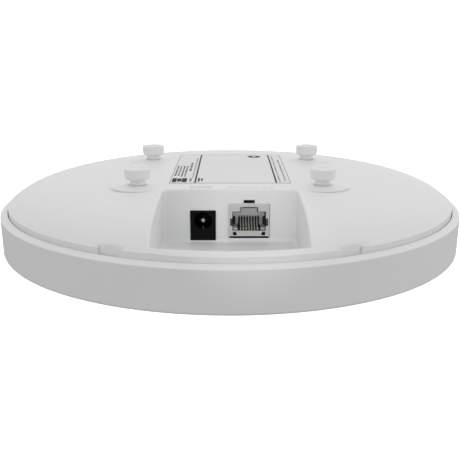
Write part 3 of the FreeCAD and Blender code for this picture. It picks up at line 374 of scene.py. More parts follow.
def ringTree():  # copies turned round the upright axis
    tree, source = newTree("copiesRoundAxis", {"Count": 6, "First Angle": 0.0})
    points = addNode(tree, "GeometryNodeMeshLine", {"Count": source["Count"], "Offset": (0, 0, 0)})
    index = addNode(tree, "GeometryNodeInputIndex")
    step = addNode(tree, "ShaderNodeMath", {0: math.tau, 1: source["Count"]}, operation="DIVIDE")
    angle = addNode(tree, "ShaderNodeMath",
                    {0: index.outputs[0], 1: step.outputs[0], 2: source["First Angle"]},
                    operation="MULTIPLY_ADD")
    turn = addNode(tree, "ShaderNodeCombineXYZ", {"Z": angle.outputs[0]})
    copies = addNode(tree, "GeometryNodeInstanceOnPoints",
                     {"Points": points.outputs["Mesh"], "Instance": source["Geometry"],
                      "Rotation": turn.outputs["Vector"]})
    return closeTree(tree, copies.outputs["Instances"], source)


def printTree():  # rows of short bars of uneven length, standing for small print
    tree, source = newTree("printedRows", {"Rows": 2, "Bars": 8, "Row Pitch": 0.002, "Bar Pitch": 0.003,
                                           "Centre X": 0.0, "Centre Y": 0.0, "Shortest": 0.45,
                                           "Longest": 0.85, "Seed": 1})
    rowGaps = addNode(tree, "ShaderNodeMath", {0: source["Rows"], 1: 1.0}, operation="SUBTRACT")
    barGaps = addNode(tree, "ShaderNodeMath", {0: source["Bars"], 1: 1.0}, operation="SUBTRACT")
    width = addNode(tree, "ShaderNodeMath", {0: rowGaps.outputs[0], 1: source["Row Pitch"]},
                    operation="MULTIPLY")
    length = addNode(tree, "ShaderNodeMath", {0: barGaps.outputs[0], 1: source["Bar Pitch"]},
                     operation="MULTIPLY")
    grid = addNode(tree, "GeometryNodeMeshGrid", {"Size X": width.outputs[0], "Size Y": length.outputs[0],
                                                  "Vertices X": source["Rows"],
                                                  "Vertices Y": source["Bars"]})
    centre = addNode(tree, "ShaderNodeCombineXYZ", {"X": source["Centre X"], "Y": source["Centre Y"]})
    moved = addNode(tree, "GeometryNodeTransform",
                    {"Geometry": grid.outputs["Mesh"], "Translation": centre.outputs["Vector"]})
    stretch = addNode(tree, "FunctionNodeRandomValue",
                      {"Min": source["Shortest"], "Max": source["Longest"], "Seed": source["Seed"]},
                      data_type="FLOAT")
    for socket, name in ((2, "Shortest"), (3, "Longest")):
        tree.links.new(source[name], stretch.inputs[socket])
    reach = addNode(tree, "ShaderNodeMath", {0: stretch.outputs[1], 1: source["Bar Pitch"]},
                    operation="MULTIPLY")
    scale = addNode(tree, "ShaderNodeCombineXYZ", {"X": 1.0, "Y": reach.outputs[0], "Z": 1.0})
    copies = addNode(tree, "GeometryNodeInstanceOnPoints",
                     {"Points": moved.outputs["Geometry"], "Instance": source["Geometry"],
                      "Scale": scale.outputs["Vector"]})
    return closeTree(tree, copies.outputs["Instances"], source)


turnedProfile = turnedTree()
copiesOnGrid = gridTree()
copiesRoundAxis = ringTree()
printedRows = printTree()
print("Geometry Nodes trees built")


# Mesh helpers

def linked(name, mesh):
    piece = bpy.data.objects.new(name, mesh)
    bpy.context.scene.collection.objects.link(piece)
    return piece


def settle(piece):  # the modifiers' result becomes the piece's own mesh
    evaluated = piece.evaluated_get(bpy.context.evaluated_depsgraph_get())
    mesh = bpy.data.meshes.new_from_object(evaluated)
    piece.modifiers.clear()
    piece.data = mesh
    return piece


def grow(name, mesh, tree, sizes, material):  # one Geometry Nodes tree run on a mesh
    piece = linked(name, mesh)
    modifier = piece.modifiers.new(tree.name, "NODES")
    modifier.node_group = tree
    for item in tree.interface.items_tree:
        if item.in_out == "INPUT" and item.name in sizes:
            modifier[item.identifier] = sizes[item.name]
        if item.in_out == "INPUT" and item.name == "Material":
            modifier[item.identifier] = material
    return settle(piece)


shading = {"sharpAngle": 32, "shortestEdge": 1e-7, "flatFirst": 80}


def tidyMesh(piece, angle=shading["sharpAngle"], outward=True):
    bm = bmesh.new()
    bm.from_mesh(piece.data)
    bmesh.ops.remove_doubles(bm, verts=bm.verts, dist=weldDistance)
    bmesh.ops.dissolve_degenerate(bm, edges=bm.edges, dist=shading["shortestEdge"])
    if outward:
        bmesh.ops.recalc_face_normals(bm, faces=bm.faces)
    bm.to_mesh(piece.data)
    bm.free()
    piece.data.shade_smooth()
    piece.data.set_sharp_from_angle(angle=math.radians(angle))
    weighted = piece.modifiers.new("weighted", "WEIGHTED_NORMAL")
    weighted.keep_sharp = True
    weighted.weight = shading["flatFirst"]
    return settle(piece)


def fit(piece, material, body="housing", replaced=()):
    piece.data.materials.clear()
    piece.data.materials.append(material)
    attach(piece, body)
    if replaced:
        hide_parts(*replaced)


def roundCorners(corners, closed=False, steps=5):  # (a, b, radius) corners in mm to a line of points
    line = []
    for i, (a, b, radius) in enumerate(corners):
        here = Vector((a, b))
        if not radius or not closed and i in (0, len(corners) - 1):
            line.append(here)
            continue
        before = (Vector(corners[i - 1][:2]) - here).normalized()
        after = (Vector(corners[(i + 1) % len(corners)][:2]) - here).normalized()
        half = before.angle(after) / 2
        centre = here + (before + after).normalized() * (radius / math.sin(half))
        start = here + before * (radius / math.tan(half)) - centre
        sweep = start.angle_signed(here + after * (radius / math.tan(half)) - centre)
        for step in range(steps + 1):
            line.append(centre + Matrix.Rotation(-sweep * step / steps, 2) @ start)
    return line


def turned(name, corners, segments):  # corners are (radius, height, rounding) in mm
    line = roundCorners(corners)
    mesh = bpy.data.meshes.new(name)
    points = [(p.x * mm, 0, p.y * mm) for p in line]
    mesh.from_pydata(points, [(i, i + 1) for i in range(len(line) - 1)], [])
    piece = grow(name, mesh, turnedProfile, {"Segments": segments, "Profile Points": len(line)}, None)
    return tidyMesh(piece)


# flat outlines in X and Z, holes after the outside, thick along Y
def plate(name, loops, front, back, edge=0.0):
    curve = bpy.data.curves.new(name, "CURVE")
    curve.dimensions = "2D"
    curve.fill_mode = "BOTH"
    curve.extrude = (back - front) / 2 * mm - edge * mm
    curve.bevel_depth = edge * mm
    curve.bevel_resolution = 1
    curve.offset = -edge * mm
    for loop in loops:
        spline = curve.splines.new("POLY")
        line = roundCorners(loop, closed=True, steps=3)
        spline.points.add(len(line) - 1)
        for point, spot in zip(spline.points, line):
            point.co = (spot.x * mm, spot.y * mm, 0, 1)
        spline.use_cyclic_u = True
    holder = linked(name + "Curve", curve)
    mesh = bpy.data.meshes.new_from_object(holder.evaluated_get(bpy.context.evaluated_depsgraph_get()))
    bpy.data.objects.remove(holder)
    middle = Matrix.Translation((0, (front + back) / 2 * mm, 0))
    mesh.transform(middle @ Matrix.Rotation(math.radians(90), 4, "X"))
    return mesh


def bar(low, high, edge=0.0):  # rounded block between two corners, in mm
    bm = bmesh.new()
    bmesh.ops.create_cube(bm, size=1.0)
    for vert in bm.verts:
        vert.co = Vector((a + (b - a) * (c + 0.5) for a, b, c in zip(low, high, vert.co))) * mm
    if edge:
        bmesh.ops.bevel(bm, geom=bm.edges, offset=edge * mm, segments=2, profile=0.5, affect="EDGES")
    mesh = bpy.data.meshes.new("bar")
    bm.to_mesh(mesh)
    bm.free()
    return mesh


# bent strip: path in mm, across is its two sides on the third axis
def ribbon(path, across, thickness, plane="YZ"):
    line = [Vector(p) for p in path]
    offsets = []
    for i in range(len(line)):
        along = line[min(i + 1, len(line) - 1)] - line[max(i - 1, 0)]
        offsets.append(Vector((-along.y, along.x)).normalized() * thickness / 2)
    points = []
    for spot, offset in zip(line, offsets):
        for side in across:
            for sign in (-1, 1):
                p = spot + offset * sign
                points.append(Vector((side, p.x, p.y) if plane == "YZ" else (p.x, p.y, side)) * mm)
    faces = [(0, 1, 3, 2)]
    for i in range(len(line) - 1):
        a, b = i * 4, i * 4 + 4
        faces += [(a, a + 1, b + 1, b), (a + 2, a + 3, b + 3, b + 2),
                  (a, a + 2, b + 2, b), (a + 1, a + 3, b + 3, b + 1)]
    end = (len(line) - 1) * 4
    faces.append((end, end + 1, end + 3, end + 2))
    mesh = bpy.data.meshes.new("ribbon")
    mesh.from_pydata(points, [], faces)
    return mesh


def joined(name, meshes):
    bm = bmesh.new()
    for mesh in meshes:
        bm.from_mesh(mesh)
    whole = bpy.data.meshes.new(name)
    bm.to_mesh(whole)
    bm.free()
    return whole


def cutBy(piece, meshes):  # holes cut one after another by closed tool meshes
    for mesh in meshes:
        tool = tidyMesh(linked("tool", mesh))
        modifier = piece.modifiers.new("hole", "BOOLEAN")
        modifier.operation = "DIFFERENCE"
        modifier.solver = "EXACT"
        modifier.object = tool
        settle(piece)
        bpy.data.objects.remove(tool)
    return piece


# Front cover: a turned tray with ribs, catches and posts inside

tray = {"radius": 90.0, "draft": 0.2, "rimHeight": 14.5, "rimWidth": 2.8, "rimRise": 1.0, "land": 0.5,
        "wall": 2.2, "footRound": 1.2, "rimRound": 0.35, "crestRound": 0.15, "lipRound": 0.3,
        "segments": 288, "lightY": -29.0, "lightRadius": 1.55, "lightLow": -3, "lightHigh": 6,
        "lightSegments": 48, "pinHoleZ": 9.5, "pinHoleRadius": 1.0, "pinHoleLength": 12,
        "pinHoleStart": 4, "pinHoleSegments": 32}
ribSize = {"count": 8, "firstAngle": 22.5, "reach": 4.2, "width": 1.5, "top": 12.4}
catchSize = {"count": 6, "reach": 1.9, "low": 9.2, "high": 10.9, "width": 10.0}
postSize = {"radius": 3.4, "top": 6.1, "spacing": 101.823, "taper": 0.4, "bore": 1.3, "boreDepth": 3.2,
            "edgeRound": 0.3, "mouthRound": 0.1, "segments": 40}
inside = {"sunk": 0.2, "intoWall": 0.6, "edge": 0.2}  # how far ribs, catches and posts reach into the tray


def makeFrontCover(size, rib, catch, post, hold):
    outer, wall = size["radius"], size["wall"]
    inner = outer - size["rimWidth"]
    top = size["rimHeight"] + size["rimRise"]
    piece = turned("frontCover", [
        (0, 0, 0), (outer - size["draft"], 0, size["footRound"]),
        (outer, size["rimHeight"], size["rimRound"]), (inner + size["land"], top, size["crestRound"]),
        (inner, top, size["lipRound"]), (inner, wall, wall), (0, wall, 0)], size["segments"])
    bore, low, high = size["lightRadius"], size["lightLow"], size["lightHigh"]
    light = turned("lightHole", [(0, low, 0), (bore, low, 0), (bore, high, 0), (0, high, 0)],
                   size["lightSegments"])
    light.data.transform(Matrix.Translation((0, size["lightY"] * mm, 0)))
    bore, reach = size["pinHoleRadius"], size["pinHoleLength"]
    pinHole = turned("pinHole", [(0, 0, 0), (bore, 0, 0), (bore, reach, 0), (0, reach, 0)],
                     size["pinHoleSegments"])
    start = Vector((0, outer + size["pinHoleStart"], size["pinHoleZ"])) * mm
    pinHole.data.transform(Matrix.Translation(start) @ Matrix.Rotation(math.pi / 2, 4, "X"))
    cutBy(piece, [light.data, pinHole.data])
    for tool in (light, pinHole):
        bpy.data.objects.remove(tool)
    fit(tidyMesh(piece), finishes["cover_plastic"], replaced=("front_cover",))

    root, wallSide = wall - hold["sunk"], inner + hold["intoWall"]
    ribShape = bar((inner - rib["reach"], -rib["width"] / 2, root),
                   (wallSide, rib["width"] / 2, rib["top"]),
                   hold["edge"])
    ribs = grow("seatRibs", ribShape, copiesRoundAxis,
                {"Count": rib["count"], "First Angle": math.radians(rib["firstAngle"])}, None)
    catchShape = bar((inner - catch["reach"], -catch["width"] / 2, catch["low"]),
                     (wallSide, catch["width"] / 2, catch["high"]), hold["edge"])
    catches = grow("snapCatches", catchShape, copiesRoundAxis,
                   {"Count": catch["count"], "First Angle": 0.0}, None)
    radius, bore, bottom = post["radius"], post["bore"], post["top"] - post["boreDepth"]
    postShape = turned("post", [
        (0, root, 0), (radius + post["taper"], root, 0), (radius, post["top"], post["edgeRound"]),
        (bore, post["top"], post["mouthRound"]), (bore, bottom, 0), (0, bottom, 0)], post["segments"])
    posts = grow("boardPosts", postShape.data, copiesOnGrid,
                 {"Spacing X": post["spacing"] * mm, "Spacing Y": post["spacing"] * mm}, None)
    bpy.data.objects.remove(postShape)
    for piece in (ribs, catches, posts):
        fit(tidyMesh(piece), finishes["cover_plastic"])


makeFrontCover(tray, ribSize, catchSize, postSize, inside)
print("front cover made")


# Rear cover: the CAD shape, merged and smoothed

def smoothCopy(name, node, slot, angle=28):
    piece = linked(name, nodes[node].data.copy())
    tidyMesh(piece, angle, outward=False)
    fit(piece, finishes[slot], replaced=(node,))


smoothCopy("rearCover", "rear_cover", "cover_plastic")
smoothCopy("ratingLabel", "rating_label", "label_film", angle=20)

dome = {"crown": 26.6, "flat": 24.0, "bend": 656.2}


def domeHeight(x, y):  # height of the rear cover's crown, in mm
    out = max(math.hypot(x, y) - dome["flat"], 0)
    return dome["crown"] - dome["bend"] + math.sqrt(dome["bend"] ** 2 - out ** 2)


# Mounting studs

studSize = {"x": 33.9, "y": 28.3, "foot": 27.0, "shank": 2.0, "shankLength": 8.5, "neck": 2.8,
            "neckHeight": 1.9, "head": 4.7, "headHeight": 4.1, "underRound": 1.3, "topRound": 0.5,
            "dish": 2.7, "dishDepth": 0.25, "dishSlope": 0.2, "dishRound": 0.15, "tipRound": 0.3,
            "footRound": 0.12, "neckRound": 0.25, "segments": 72}


def makeStuds(size):
    foot, under = size["foot"], size["foot"] + size["neckHeight"]
    top = under + size["headHeight"]
    tip, dishFloor = foot - size["shankLength"], top - size["dishDepth"]
    stud = turned("stud", [
        (0, tip, 0), (size["shank"], tip, size["tipRound"]), (size["shank"], foot, 0),
        (size["neck"], foot, size["footRound"]), (size["neck"], under, size["neckRound"]),
        (size["head"], under, size["underRound"]), (size["head"], top, size["topRound"]),
        (size["dish"] + size["dishSlope"], top, size["dishRound"]),
        (size["dish"], dishFloor, size["dishRound"]),
        (0, dishFloor, 0)], size["segments"])
    studs = grow("mountingStuds", stud.data, copiesOnGrid,
                 {"Spacing X": size["x"] * 2 * mm, "Spacing Y": size["y"] * 2 * mm}, None)
    bpy.data.objects.remove(stud)
    fit(tidyMesh(studs), finishes["cover_plastic"], replaced=("mounting_studs",))


makeStuds(studSize)
print("rear cover and studs made")


# Screws

screwSize = {"head": 2.7, "headHeight": 1.9, "headWall": 0.9, "crown": 0.72, "crownRound": 0.9,
             "wallRound": 0.2, "seatRound": 0.15, "shank": 1.25, "tip": 0.7, "tipHeight": 0.6,
             "tipRound": 0.1, "slotWidth": 0.7, "slotReach": 1.62, "slotDepth": 1.05, "segments": 40}
boardScrew = {"seat": 7.7, "length": 4.8, "spacingX": 101.823, "spacingY": 101.823, "centreY": 0}
spreaderScrew = {"seat": 12.2, "length": 6.1, "spacingX": 64.8, "spacingY": 34.8, "centreY": 25.0}


def makeScrews(name, size, place, node):
    seat, end = place["seat"], place["seat"] - place["length"]
    top = seat + size["headHeight"]
    screw = turned(name, [
        (0, end, 0), (size["shank"] * size["tip"], end, size["tipRound"]),
        (size["shank"], end + size["tipHeight"], size["tipRound"]), (size["shank"], seat, 0),
        (size["head"], seat, size["seatRound"]), (size["head"], seat + size["headWall"], size["wallRound"]),
        (size["head"] * size["crown"], top, size["crownRound"]), (0, top, 0)], size["segments"])
    half, reach, low = size["slotWidth"] / 2, size["slotReach"], top - size["slotDepth"]
    # the second bar of the cross slot is a little taller, so that no two tool faces lie on each other
    cutBy(screw, [bar((-reach, -half, low), (reach, half, top + 1)),
                  bar((-half, -reach, low), (half, reach, top + 1.1))])
    screws = grow(name + "Set", screw.data, copiesOnGrid,
                  {"Spacing X": place["spacingX"] * mm, "Spacing Y": place["spacingY"] * mm,
                   "Centre Y": place["centreY"] * mm}, None)
    bpy.data.objects.remove(screw)
    fit(tidyMesh(screws), finishes["plated_steel"], replaced=(node,))


makeScrews("boardScrew", screwSize, boardScrew, "board_screws")
makeScrews("spreaderScrew", screwSize, spreaderScrew, "spreader_screws")
print("screws made")


# Power inlet pin

pin = {"x": -9.8, "z": 14.8, "radius": 1.0, "tip": -34.4, "foot": -23.0, "footRound": 0.1,
       "tipRound": 0.98, "segments": 48}


def makeInletPin(size):  # turned pin with a full round tip, pointing out of the bore
    radius, length = size["radius"], size["foot"] - size["tip"]
    shaft = turned("inletPin", [(0, 0, 0), (radius, 0, size["footRound"]),
                                (radius, length, radius * size["tipRound"]), (0, length, 0)],
                   size["segments"])
    turn = Matrix.Rotation(math.radians(90), 4, "X")
    shaft.data.transform(Matrix.Translation(Vector((size["x"], size["foot"], size["z"])) * mm) @ turn)
    fit(tidyMesh(shaft), finishes["plated_steel"], replaced=("inlet_pin",))


makeInletPin(pin)
print("inlet pin made")


# Network port

port = {"x": 6.93, "face": -35.0, "back": -14.0, "top": 21.2, "lip": 9.15, "left": -0.68, "right": 14.3,
        "sheet": 0.3, "corner": 0.3, "edge": 0.04, "cavity": 6.05, "low": 11.25, "high": 18.35,
        "latch": 3.225, "latchTop": 19.95, "keeper": 2.085, "keeperTop": 20.6, "window": 6.86,
        "windowLow": 13.0, "windowHigh": 15.8, "wedgeOut": 5.85, "wedgeIn": 4.35, "wedgeTip": 4.8,
        "wedgeLow": 9.5, "wedgeHigh": 10.75, "wedgeLowRound": 0.1, "wedgeHighRound": 0.15,
        "sleeveHalf": 7.3, "sleeveLow": 8.45, "sleeveTop": 20.95}


def makePortShield(size):
    x, low, high, sheet, corner = size["x"], size["low"], size["high"], size["sheet"], size["corner"]
    outside = [(size["left"], size["lip"], corner), (size["right"], size["lip"], corner),
               (size["right"], size["top"], corner), (size["left"], size["top"], corner)]
    cavity, window, latch = size["cavity"], size["window"], size["latch"]
    half = [(cavity, low), (cavity, size["windowLow"]), (window, size["windowLow"]),
            (window, size["windowHigh"]), (cavity, size["windowHigh"]), (cavity, high), (latch, high),
            (latch, size["latchTop"]), (size["keeper"], size["latchTop"]),
            (size["keeper"], size["keeperTop"])]
    mouth = [(x + a, b, 0) for a, b in half] + [(x - a, b, 0) for a, b in reversed(half)]
    lowRound, highRound = size["wedgeLowRound"], size["wedgeHighRound"]
    wedge = [(size["wedgeOut"], size["wedgeLow"], lowRound), (size["wedgeIn"], size["wedgeLow"], lowRound),
             (size["wedgeTip"], size["wedgeHigh"], highRound),
             (size["wedgeOut"], size["wedgeHigh"], lowRound)]
    wedges = [[(x + s * a, z, rounding) for a, z, rounding in wedge] for s in (-1, 1)]
    front = plate("portFront", [outside, mouth] + wedges, size["face"], size["face"] + sheet, size["edge"])
    left, right = x - size["sleeveHalf"], x + size["sleeveHalf"]
    foot, roof = size["sleeveLow"], size["sleeveTop"]
    bay = [(left + sheet, foot, 0), (left + sheet, roof - sheet, 0), (right - sheet, roof - sheet, 0),
           (right - sheet, foot, 0)]
    wall = [(left, foot, 0)] + bay + [(right, foot, 0), (right, roof, corner), (left, roof, corner)]
    sleeve = plate("portSleeve", [wall], size["face"] + sheet, size["back"])
    rear = plate("portRear", [bay[:1] + bay[:0:-1]], size["back"] - sheet, size["back"])
    shell = linked("portShield", joined("portShield", [front, sleeve, rear]))
    fit(tidyMesh(shell), finishes["nickel_shell"], replaced=("port_shield",))


leaf = {"root": (6.8, -34.72, 0), "lip": (6.15, -34.66, 0.3), "bow": (4.95, -32.3, 1.0),
        "end": (5.8, -29.6, 0), "low": 13.15, "high": 15.65, "thickness": 0.18}


def makeGroundLeaves(x, size):  # sprung strips rooted in the side windows and bowed into the plug's space
    leaves = []
    for s in (-1, 1):
        path = [(x + s * out, y, rounding) for out, y, rounding in
                (size["root"], size["lip"], size["bow"], size["end"])]
        path = roundCorners(path, steps=6)
        leaves.append(ribbon(path, (size["low"], size["high"]), size["thickness"], "XY"))
    springs = linked("groundLeaves", joined("groundLeaves", leaves))
    # the leaves take the steel darkened as painted shade of the port
    fit(tidyMesh(springs), shadedTemperedSteel)


insert = {"front": -34.64, "back": -34.2, "width": 0.24, "sill": 0.1, "reach": 0.4, "half": 6.5,
          "latchHalf": 3.7, "latchReach": 0.05, "windowIn": 5.7, "windowOut": 7, "windowFront": -35,
          "windowBack": -34}
keeper = {"half": 2.4, "front": -34.6, "back": -33.9, "gap": 0.06, "above": 0.2, "edge": 0.05}


# black rim of the insert, a fine dark line inside the opening, and its latch stop
def makeInsertRim(hole, size, stop):
    x, low, high, edge = hole["x"], hole["low"], hole["high"], size["width"]
    cavity, latch, latchTop = hole["cavity"] - edge, hole["latch"] - edge, hole["latchTop"] - edge
    right = [(cavity, low + size["sill"]), (cavity, high - edge), (latch, high - edge), (latch, latchTop)]
    inner = [(x - cavity, low + size["sill"], 0)] + [(x + a, z, 0) for a, z in right]
    inner += [(x - a, z, 0) for a, z in reversed(right[1:])]
    over = hole["latchTop"] + size["latchReach"]
    side = [(size["half"], low - size["reach"]), (size["half"], high + size["reach"]),
            (size["latchHalf"], high + size["reach"]), (size["latchHalf"], over)]
    outer = [(x - size["half"], low - size["reach"], 0)] + [(x + a, z, 0) for a, z in side]
    outer += [(x - a, z, 0) for a, z in reversed(side[1:])]
    rim = linked("insertRim", plate("insertRim", [outer, inner], size["front"], size["back"]))
    windows = []
    for s in (-1, 1):
        near, far = sorted((s * size["windowIn"], s * size["windowOut"]))
        windows.append(bar((x + near, size["windowFront"], hole["windowLow"]),
                           (x + far, size["windowBack"], hole["windowHigh"])))
    fit(tidyMesh(cutBy(rim, windows)), finishes["black_plastic"])
    block = bar((x - stop["half"], stop["front"], hole["latchTop"] + stop["gap"]),
                (x + stop["half"], stop["back"], hole["keeperTop"] + stop["above"]), stop["edge"])
    fit(tidyMesh(linked("latchKeeper", block)), palePlastic)


comb = {"front": -27.1, "thick": 0.8, "contacts": 8, "pitch": 1.02, "slot": 0.35, "slotTop": 14.45,
        "slotLow": 11.3, "gap": 0.02}
finSize = {"start": (-34.2, 11.55, 0), "bend": (-32.5, 11.75, 0.8), "endHeight": 14.7, "half": 0.13,
           "height": 0.85}
bench = {"inner": 4.2, "front": -33.9, "height": 0.55, "edge": 0.1}


def makePortInside(hole, teeth):  # pale wall with an open slot behind each contact
    x, low, top = hole["x"], teeth["slotLow"], teeth["slotTop"]
    side, shoulder = hole["cavity"] - teeth["gap"], hole["high"] - teeth["gap"]
    line = [(x - side, shoulder, 0), (x - side, low, 0)]
    for i in range(teeth["contacts"]):
        centre = x + (i - (teeth["contacts"] - 1) / 2) * teeth["pitch"]
        line += [(centre - teeth["slot"], low, 0), (centre - teeth["slot"], top, 0),
                 (centre + teeth["slot"], top, 0), (centre + teeth["slot"], low, 0)]
    line += [(x + side, low, 0), (x + side, shoulder, 0), (x + hole["latch"], shoulder, 0),
             (x + hole["latch"], hole["latchTop"], 0), (x - hole["latch"], hole["latchTop"], 0),
             (x - hole["latch"], shoulder, 0)]
    wall = linked("contactComb",
                  plate("contactComb", [line], teeth["front"], teeth["front"] + teeth["thick"]))
    fit(tidyMesh(wall), palePlastic)


# a block beside the outer contacts, and thin fins between all of them
def makeBenchesAndFins(hole, teeth, seat, fin):
    x, side, low = hole["x"], hole["cavity"] - teeth["gap"], teeth["slotLow"]
    shape = ribbon(roundCorners([fin["start"], fin["bend"], (teeth["front"], fin["endHeight"], 0)]),
                   (x - fin["half"], x + fin["half"]), fin["height"])
    blocks = []
    for s in (-1, 1):
        near, far = sorted((s * seat["inner"], s * side))
        blocks.append(bar((x + near, seat["front"], low), (x + far, teeth["front"], low + seat["height"]),
                          seat["edge"]))
    fit(tidyMesh(linked("contactBenches", joined("contactBenches", blocks))), palePlastic)
    fins = grow("contactFins", shape, copiesOnGrid,
                {"Copies X": teeth["contacts"] - 1, "Copies Y": 1, "Spacing X": teeth["pitch"] * mm}, None)
    fit(tidyMesh(fins), palePlastic)


wire = {"width": 0.4, "thickness": 0.35, "start": -33.6, "bend": -32.5, "bendRound": 0.8, "end": -27.6,
        "low": 11.725, "high": 14.925}


def makeContacts(hole, teeth, size):
    path = roundCorners([(size["start"], size["low"], 0), (size["bend"], size["low"], size["bendRound"]),
                         (size["end"], size["high"], 0)], steps=6)
    strip = ribbon(path, (hole["x"] - size["width"] / 2, hole["x"] + size["width"] / 2), size["thickness"])
    wires = grow("portContacts", strip, copiesOnGrid,
                 {"Copies X": teeth["contacts"], "Copies Y": 1, "Spacing X": teeth["pitch"] * mm}, None)
    # the contacts' gold is darkened as painted shade of the port's cavity
    fit(tidyMesh(wires), finishes["gold_contact"], "contacts", ("port_contacts",))


makePortShield(port)
makeGroundLeaves(port["x"], leaf)
makeInsertRim(port, insert, keeper)
makePortInside(port, comb)
makeBenchesAndFins(port, comb, bench, finSize)
makeContacts(port, comb, wire)
print("network port made")


# Rating label print and moulded legends

printMesh = {"halvings": 6, "longest": 4, "weld": 1e-7}


def drape(piece, lift, thick):  # flat print is laid on the crown of the cover, then gets its thickness
    bm = bmesh.new()
    bm.from_mesh(piece.data)
    bmesh.ops.remove_doubles(bm, verts=bm.verts, dist=printMesh["weld"])
    for _ in range(printMesh["halvings"]):
        long = [edge for edge in bm.edges if edge.calc_length() > printMesh["longest"] * mm]
        if long:
            bmesh.ops.subdivide_edges(bm, edges=long, cuts=1, use_grid_fill=True)
    bottom = bm.faces[:]
    raised = bmesh.ops.extrude_face_region(bm, geom=bottom)
    for item in raised["geom"]:
        if isinstance(item, bmesh.types.BMVert):
            item.co.z += thick * mm
    for vert in bm.verts:
        vert.co.z += (domeHeight(vert.co.x / mm, vert.co.y / mm) + lift) * mm
    bmesh.ops.recalc_face_normals(bm, faces=bm.faces)
    bm.to_mesh(piece.data)
    bm.free()
    return piece


def flatShape(name, loops):  # filled flat outline in X and Y, in mm
    mesh = plate(name, loops, 0, 0)
    mesh.transform(Matrix.Rotation(math.radians(-90), 4, "X"))
    bm = bmesh.new()
    bm.from_mesh(mesh)
    bmesh.ops.remove_doubles(bm, verts=bm.verts, dist=printMesh["weld"])
    bm.to_mesh(mesh)
    bm.free()
    return mesh


def strips(name, rectangles):  # flat rectangles given as x low, y low, x high, y high
    points, faces = [], []
    for xLow, yLow, xHigh, yHigh in rectangles:
        start = len(points)
        points += [(xLow * mm, yLow * mm, 0), (xHigh * mm, yLow * mm, 0),
                   (xHigh * mm, yHigh * mm, 0), (xLow * mm, yHigh * mm, 0)]
        faces.append((start, start + 1, start + 2, start + 3))
    mesh = bpy.data.meshes.new(name)
    mesh.from_pydata(points, [], faces)
    return mesh


label = {"x": 22.72, "front": -24.4, "back": 43.9, "lift": 0.125, "ink": 0.012, "hair": 0.2,
         "endHair": 2.2, "rule": 0.62, "ruleLeft": -13.1, "ruleRight": 17.35, "ruleShort": 1.2,
         "unit": 1000}
badge = {"x": 10.9, "y": 36.8, "outer": (2.9, 3.3), "inner": (1.1, 1.3)}
badgeBars = [(-22.0, -22.5, -20.3, -15.0), (-20.1, -21.4, -18.5, -15.6), (-18.3, -22.5, -16.4, -15.0),
             (-12.2, -21.6, -11.5, -14.6), (-11.0, -20.8, -10.4, -15.4)]  # x low, y low, x high, y high
printLines = [  # x, middle y, rows, bars, row pitch, bar pitch, bar height, seed, ink
    (-20.9, 1.0, 2, 9, 1.25, 2.5, 0.62, 3, printInk), (-18.3, 0.0, 2, 10, 1.25, 2.4, 0.66, 5, printInk),
    (-16.1, 10.0, 1, 8, 1.0, 2.5, 0.9, 7, printInk), (-14.4, 9.5, 1, 18, 1.0, 2.6, 0.5, 9, printTint),
    (-15.0, -18.3, 1, 3, 1.0, 2.0, 0.8, 11, printInk), (18.8, 8.0, 1, 24, 1.0, 2.5, 0.62, 13, printTint),
    (21.0, 3.5, 1, 19, 1.0, 2.5, 0.62, 15, printTint)]


def ovalLoop(x, y, a, b, count=28):
    loop = []
    for i in range(count):
        angle = math.tau * i / count
        loop.append((x + a * math.cos(angle), y + b * math.sin(angle), 0))
    return loop


def layPrint(piece, size, ink):
    fit(drape(piece, size["lift"], size["ink"]), ink)


def makeLabelPrint(size, mark, bars, lines):
    x, front, back, hair = size["x"], size["front"], size["back"], size["hair"]
    endHair = hair * size["endHair"]
    border = strips("labelBorder", [(-x, front, -x + hair, back), (x - hair, front, x, back),
                                    (-x, front, x, front + endHair), (-x, back - endHair, x, back)])
    layPrint(linked("labelBorder", border), size, printTint)
    halfRule, end = size["rule"] / 2, back - size["ruleShort"]
    rules = strips("labelRules", [(at - halfRule, front, at + halfRule, end)
                                  for at in (size["ruleLeft"], size["ruleRight"])])
    layPrint(linked("labelRules", rules), size, printInk)
    # a plain ring, and a block of bars, stand where the plate has its marks
    ring = flatShape("ring", [ovalLoop(mark["x"], mark["y"], *mark["outer"]),
                              ovalLoop(mark["x"], mark["y"], *mark["inner"])])
    badges = joined("labelBadges", [ring, strips("badgeBars", bars)])
    layPrint(linked("labelBadges", badges), size, printInk)
    for x, y, rows, count, rowPitch, barPitch, height, seed, ink in lines:
        # one metre long, so that the tree's scale along Y is the length of a bar
        stroke = strips("mark", [(-height / 2, -size["unit"] / 2, height / 2, size["unit"] / 2)])
        rowsOf = grow("labelPrint%d" % seed, stroke, printedRows,
                      {"Rows": rows, "Bars": count, "Row Pitch": rowPitch * mm, "Bar Pitch": barPitch * mm,
                       "Centre X": x * mm, "Centre Y": y * mm, "Seed": seed}, None)
        layPrint(rowsOf, size, ink)


legend = {"lift": -0.03, "height": 0.32, "y": -31.0, "centre": -10.5, "apart": 3.2, "thin": 0.2,
          "tall": 1.2, "endRing": [(0.85, 1.25), (0.6, 0.9)], "middleRing": [(1.2, 1.7), (0.9, 1.3)],
          "dot": [(0.45, 0.65)]}
legendArms = [(-12.9, -11.6), (-9.4, -8.1), (-14.0, -13.4), (-7.6, -7.0)]  # from x to x, in line
legendWords = [(1.5, 4.4), (5.0, 6.4), (7.0, 10.4), (11.6, 13.2), (13.8, 16.0)]
legendBracket = {"left": -1.1, "stem": -0.7, "armStart": -0.4, "armEnd": 1.2, "armInner": 0.7}


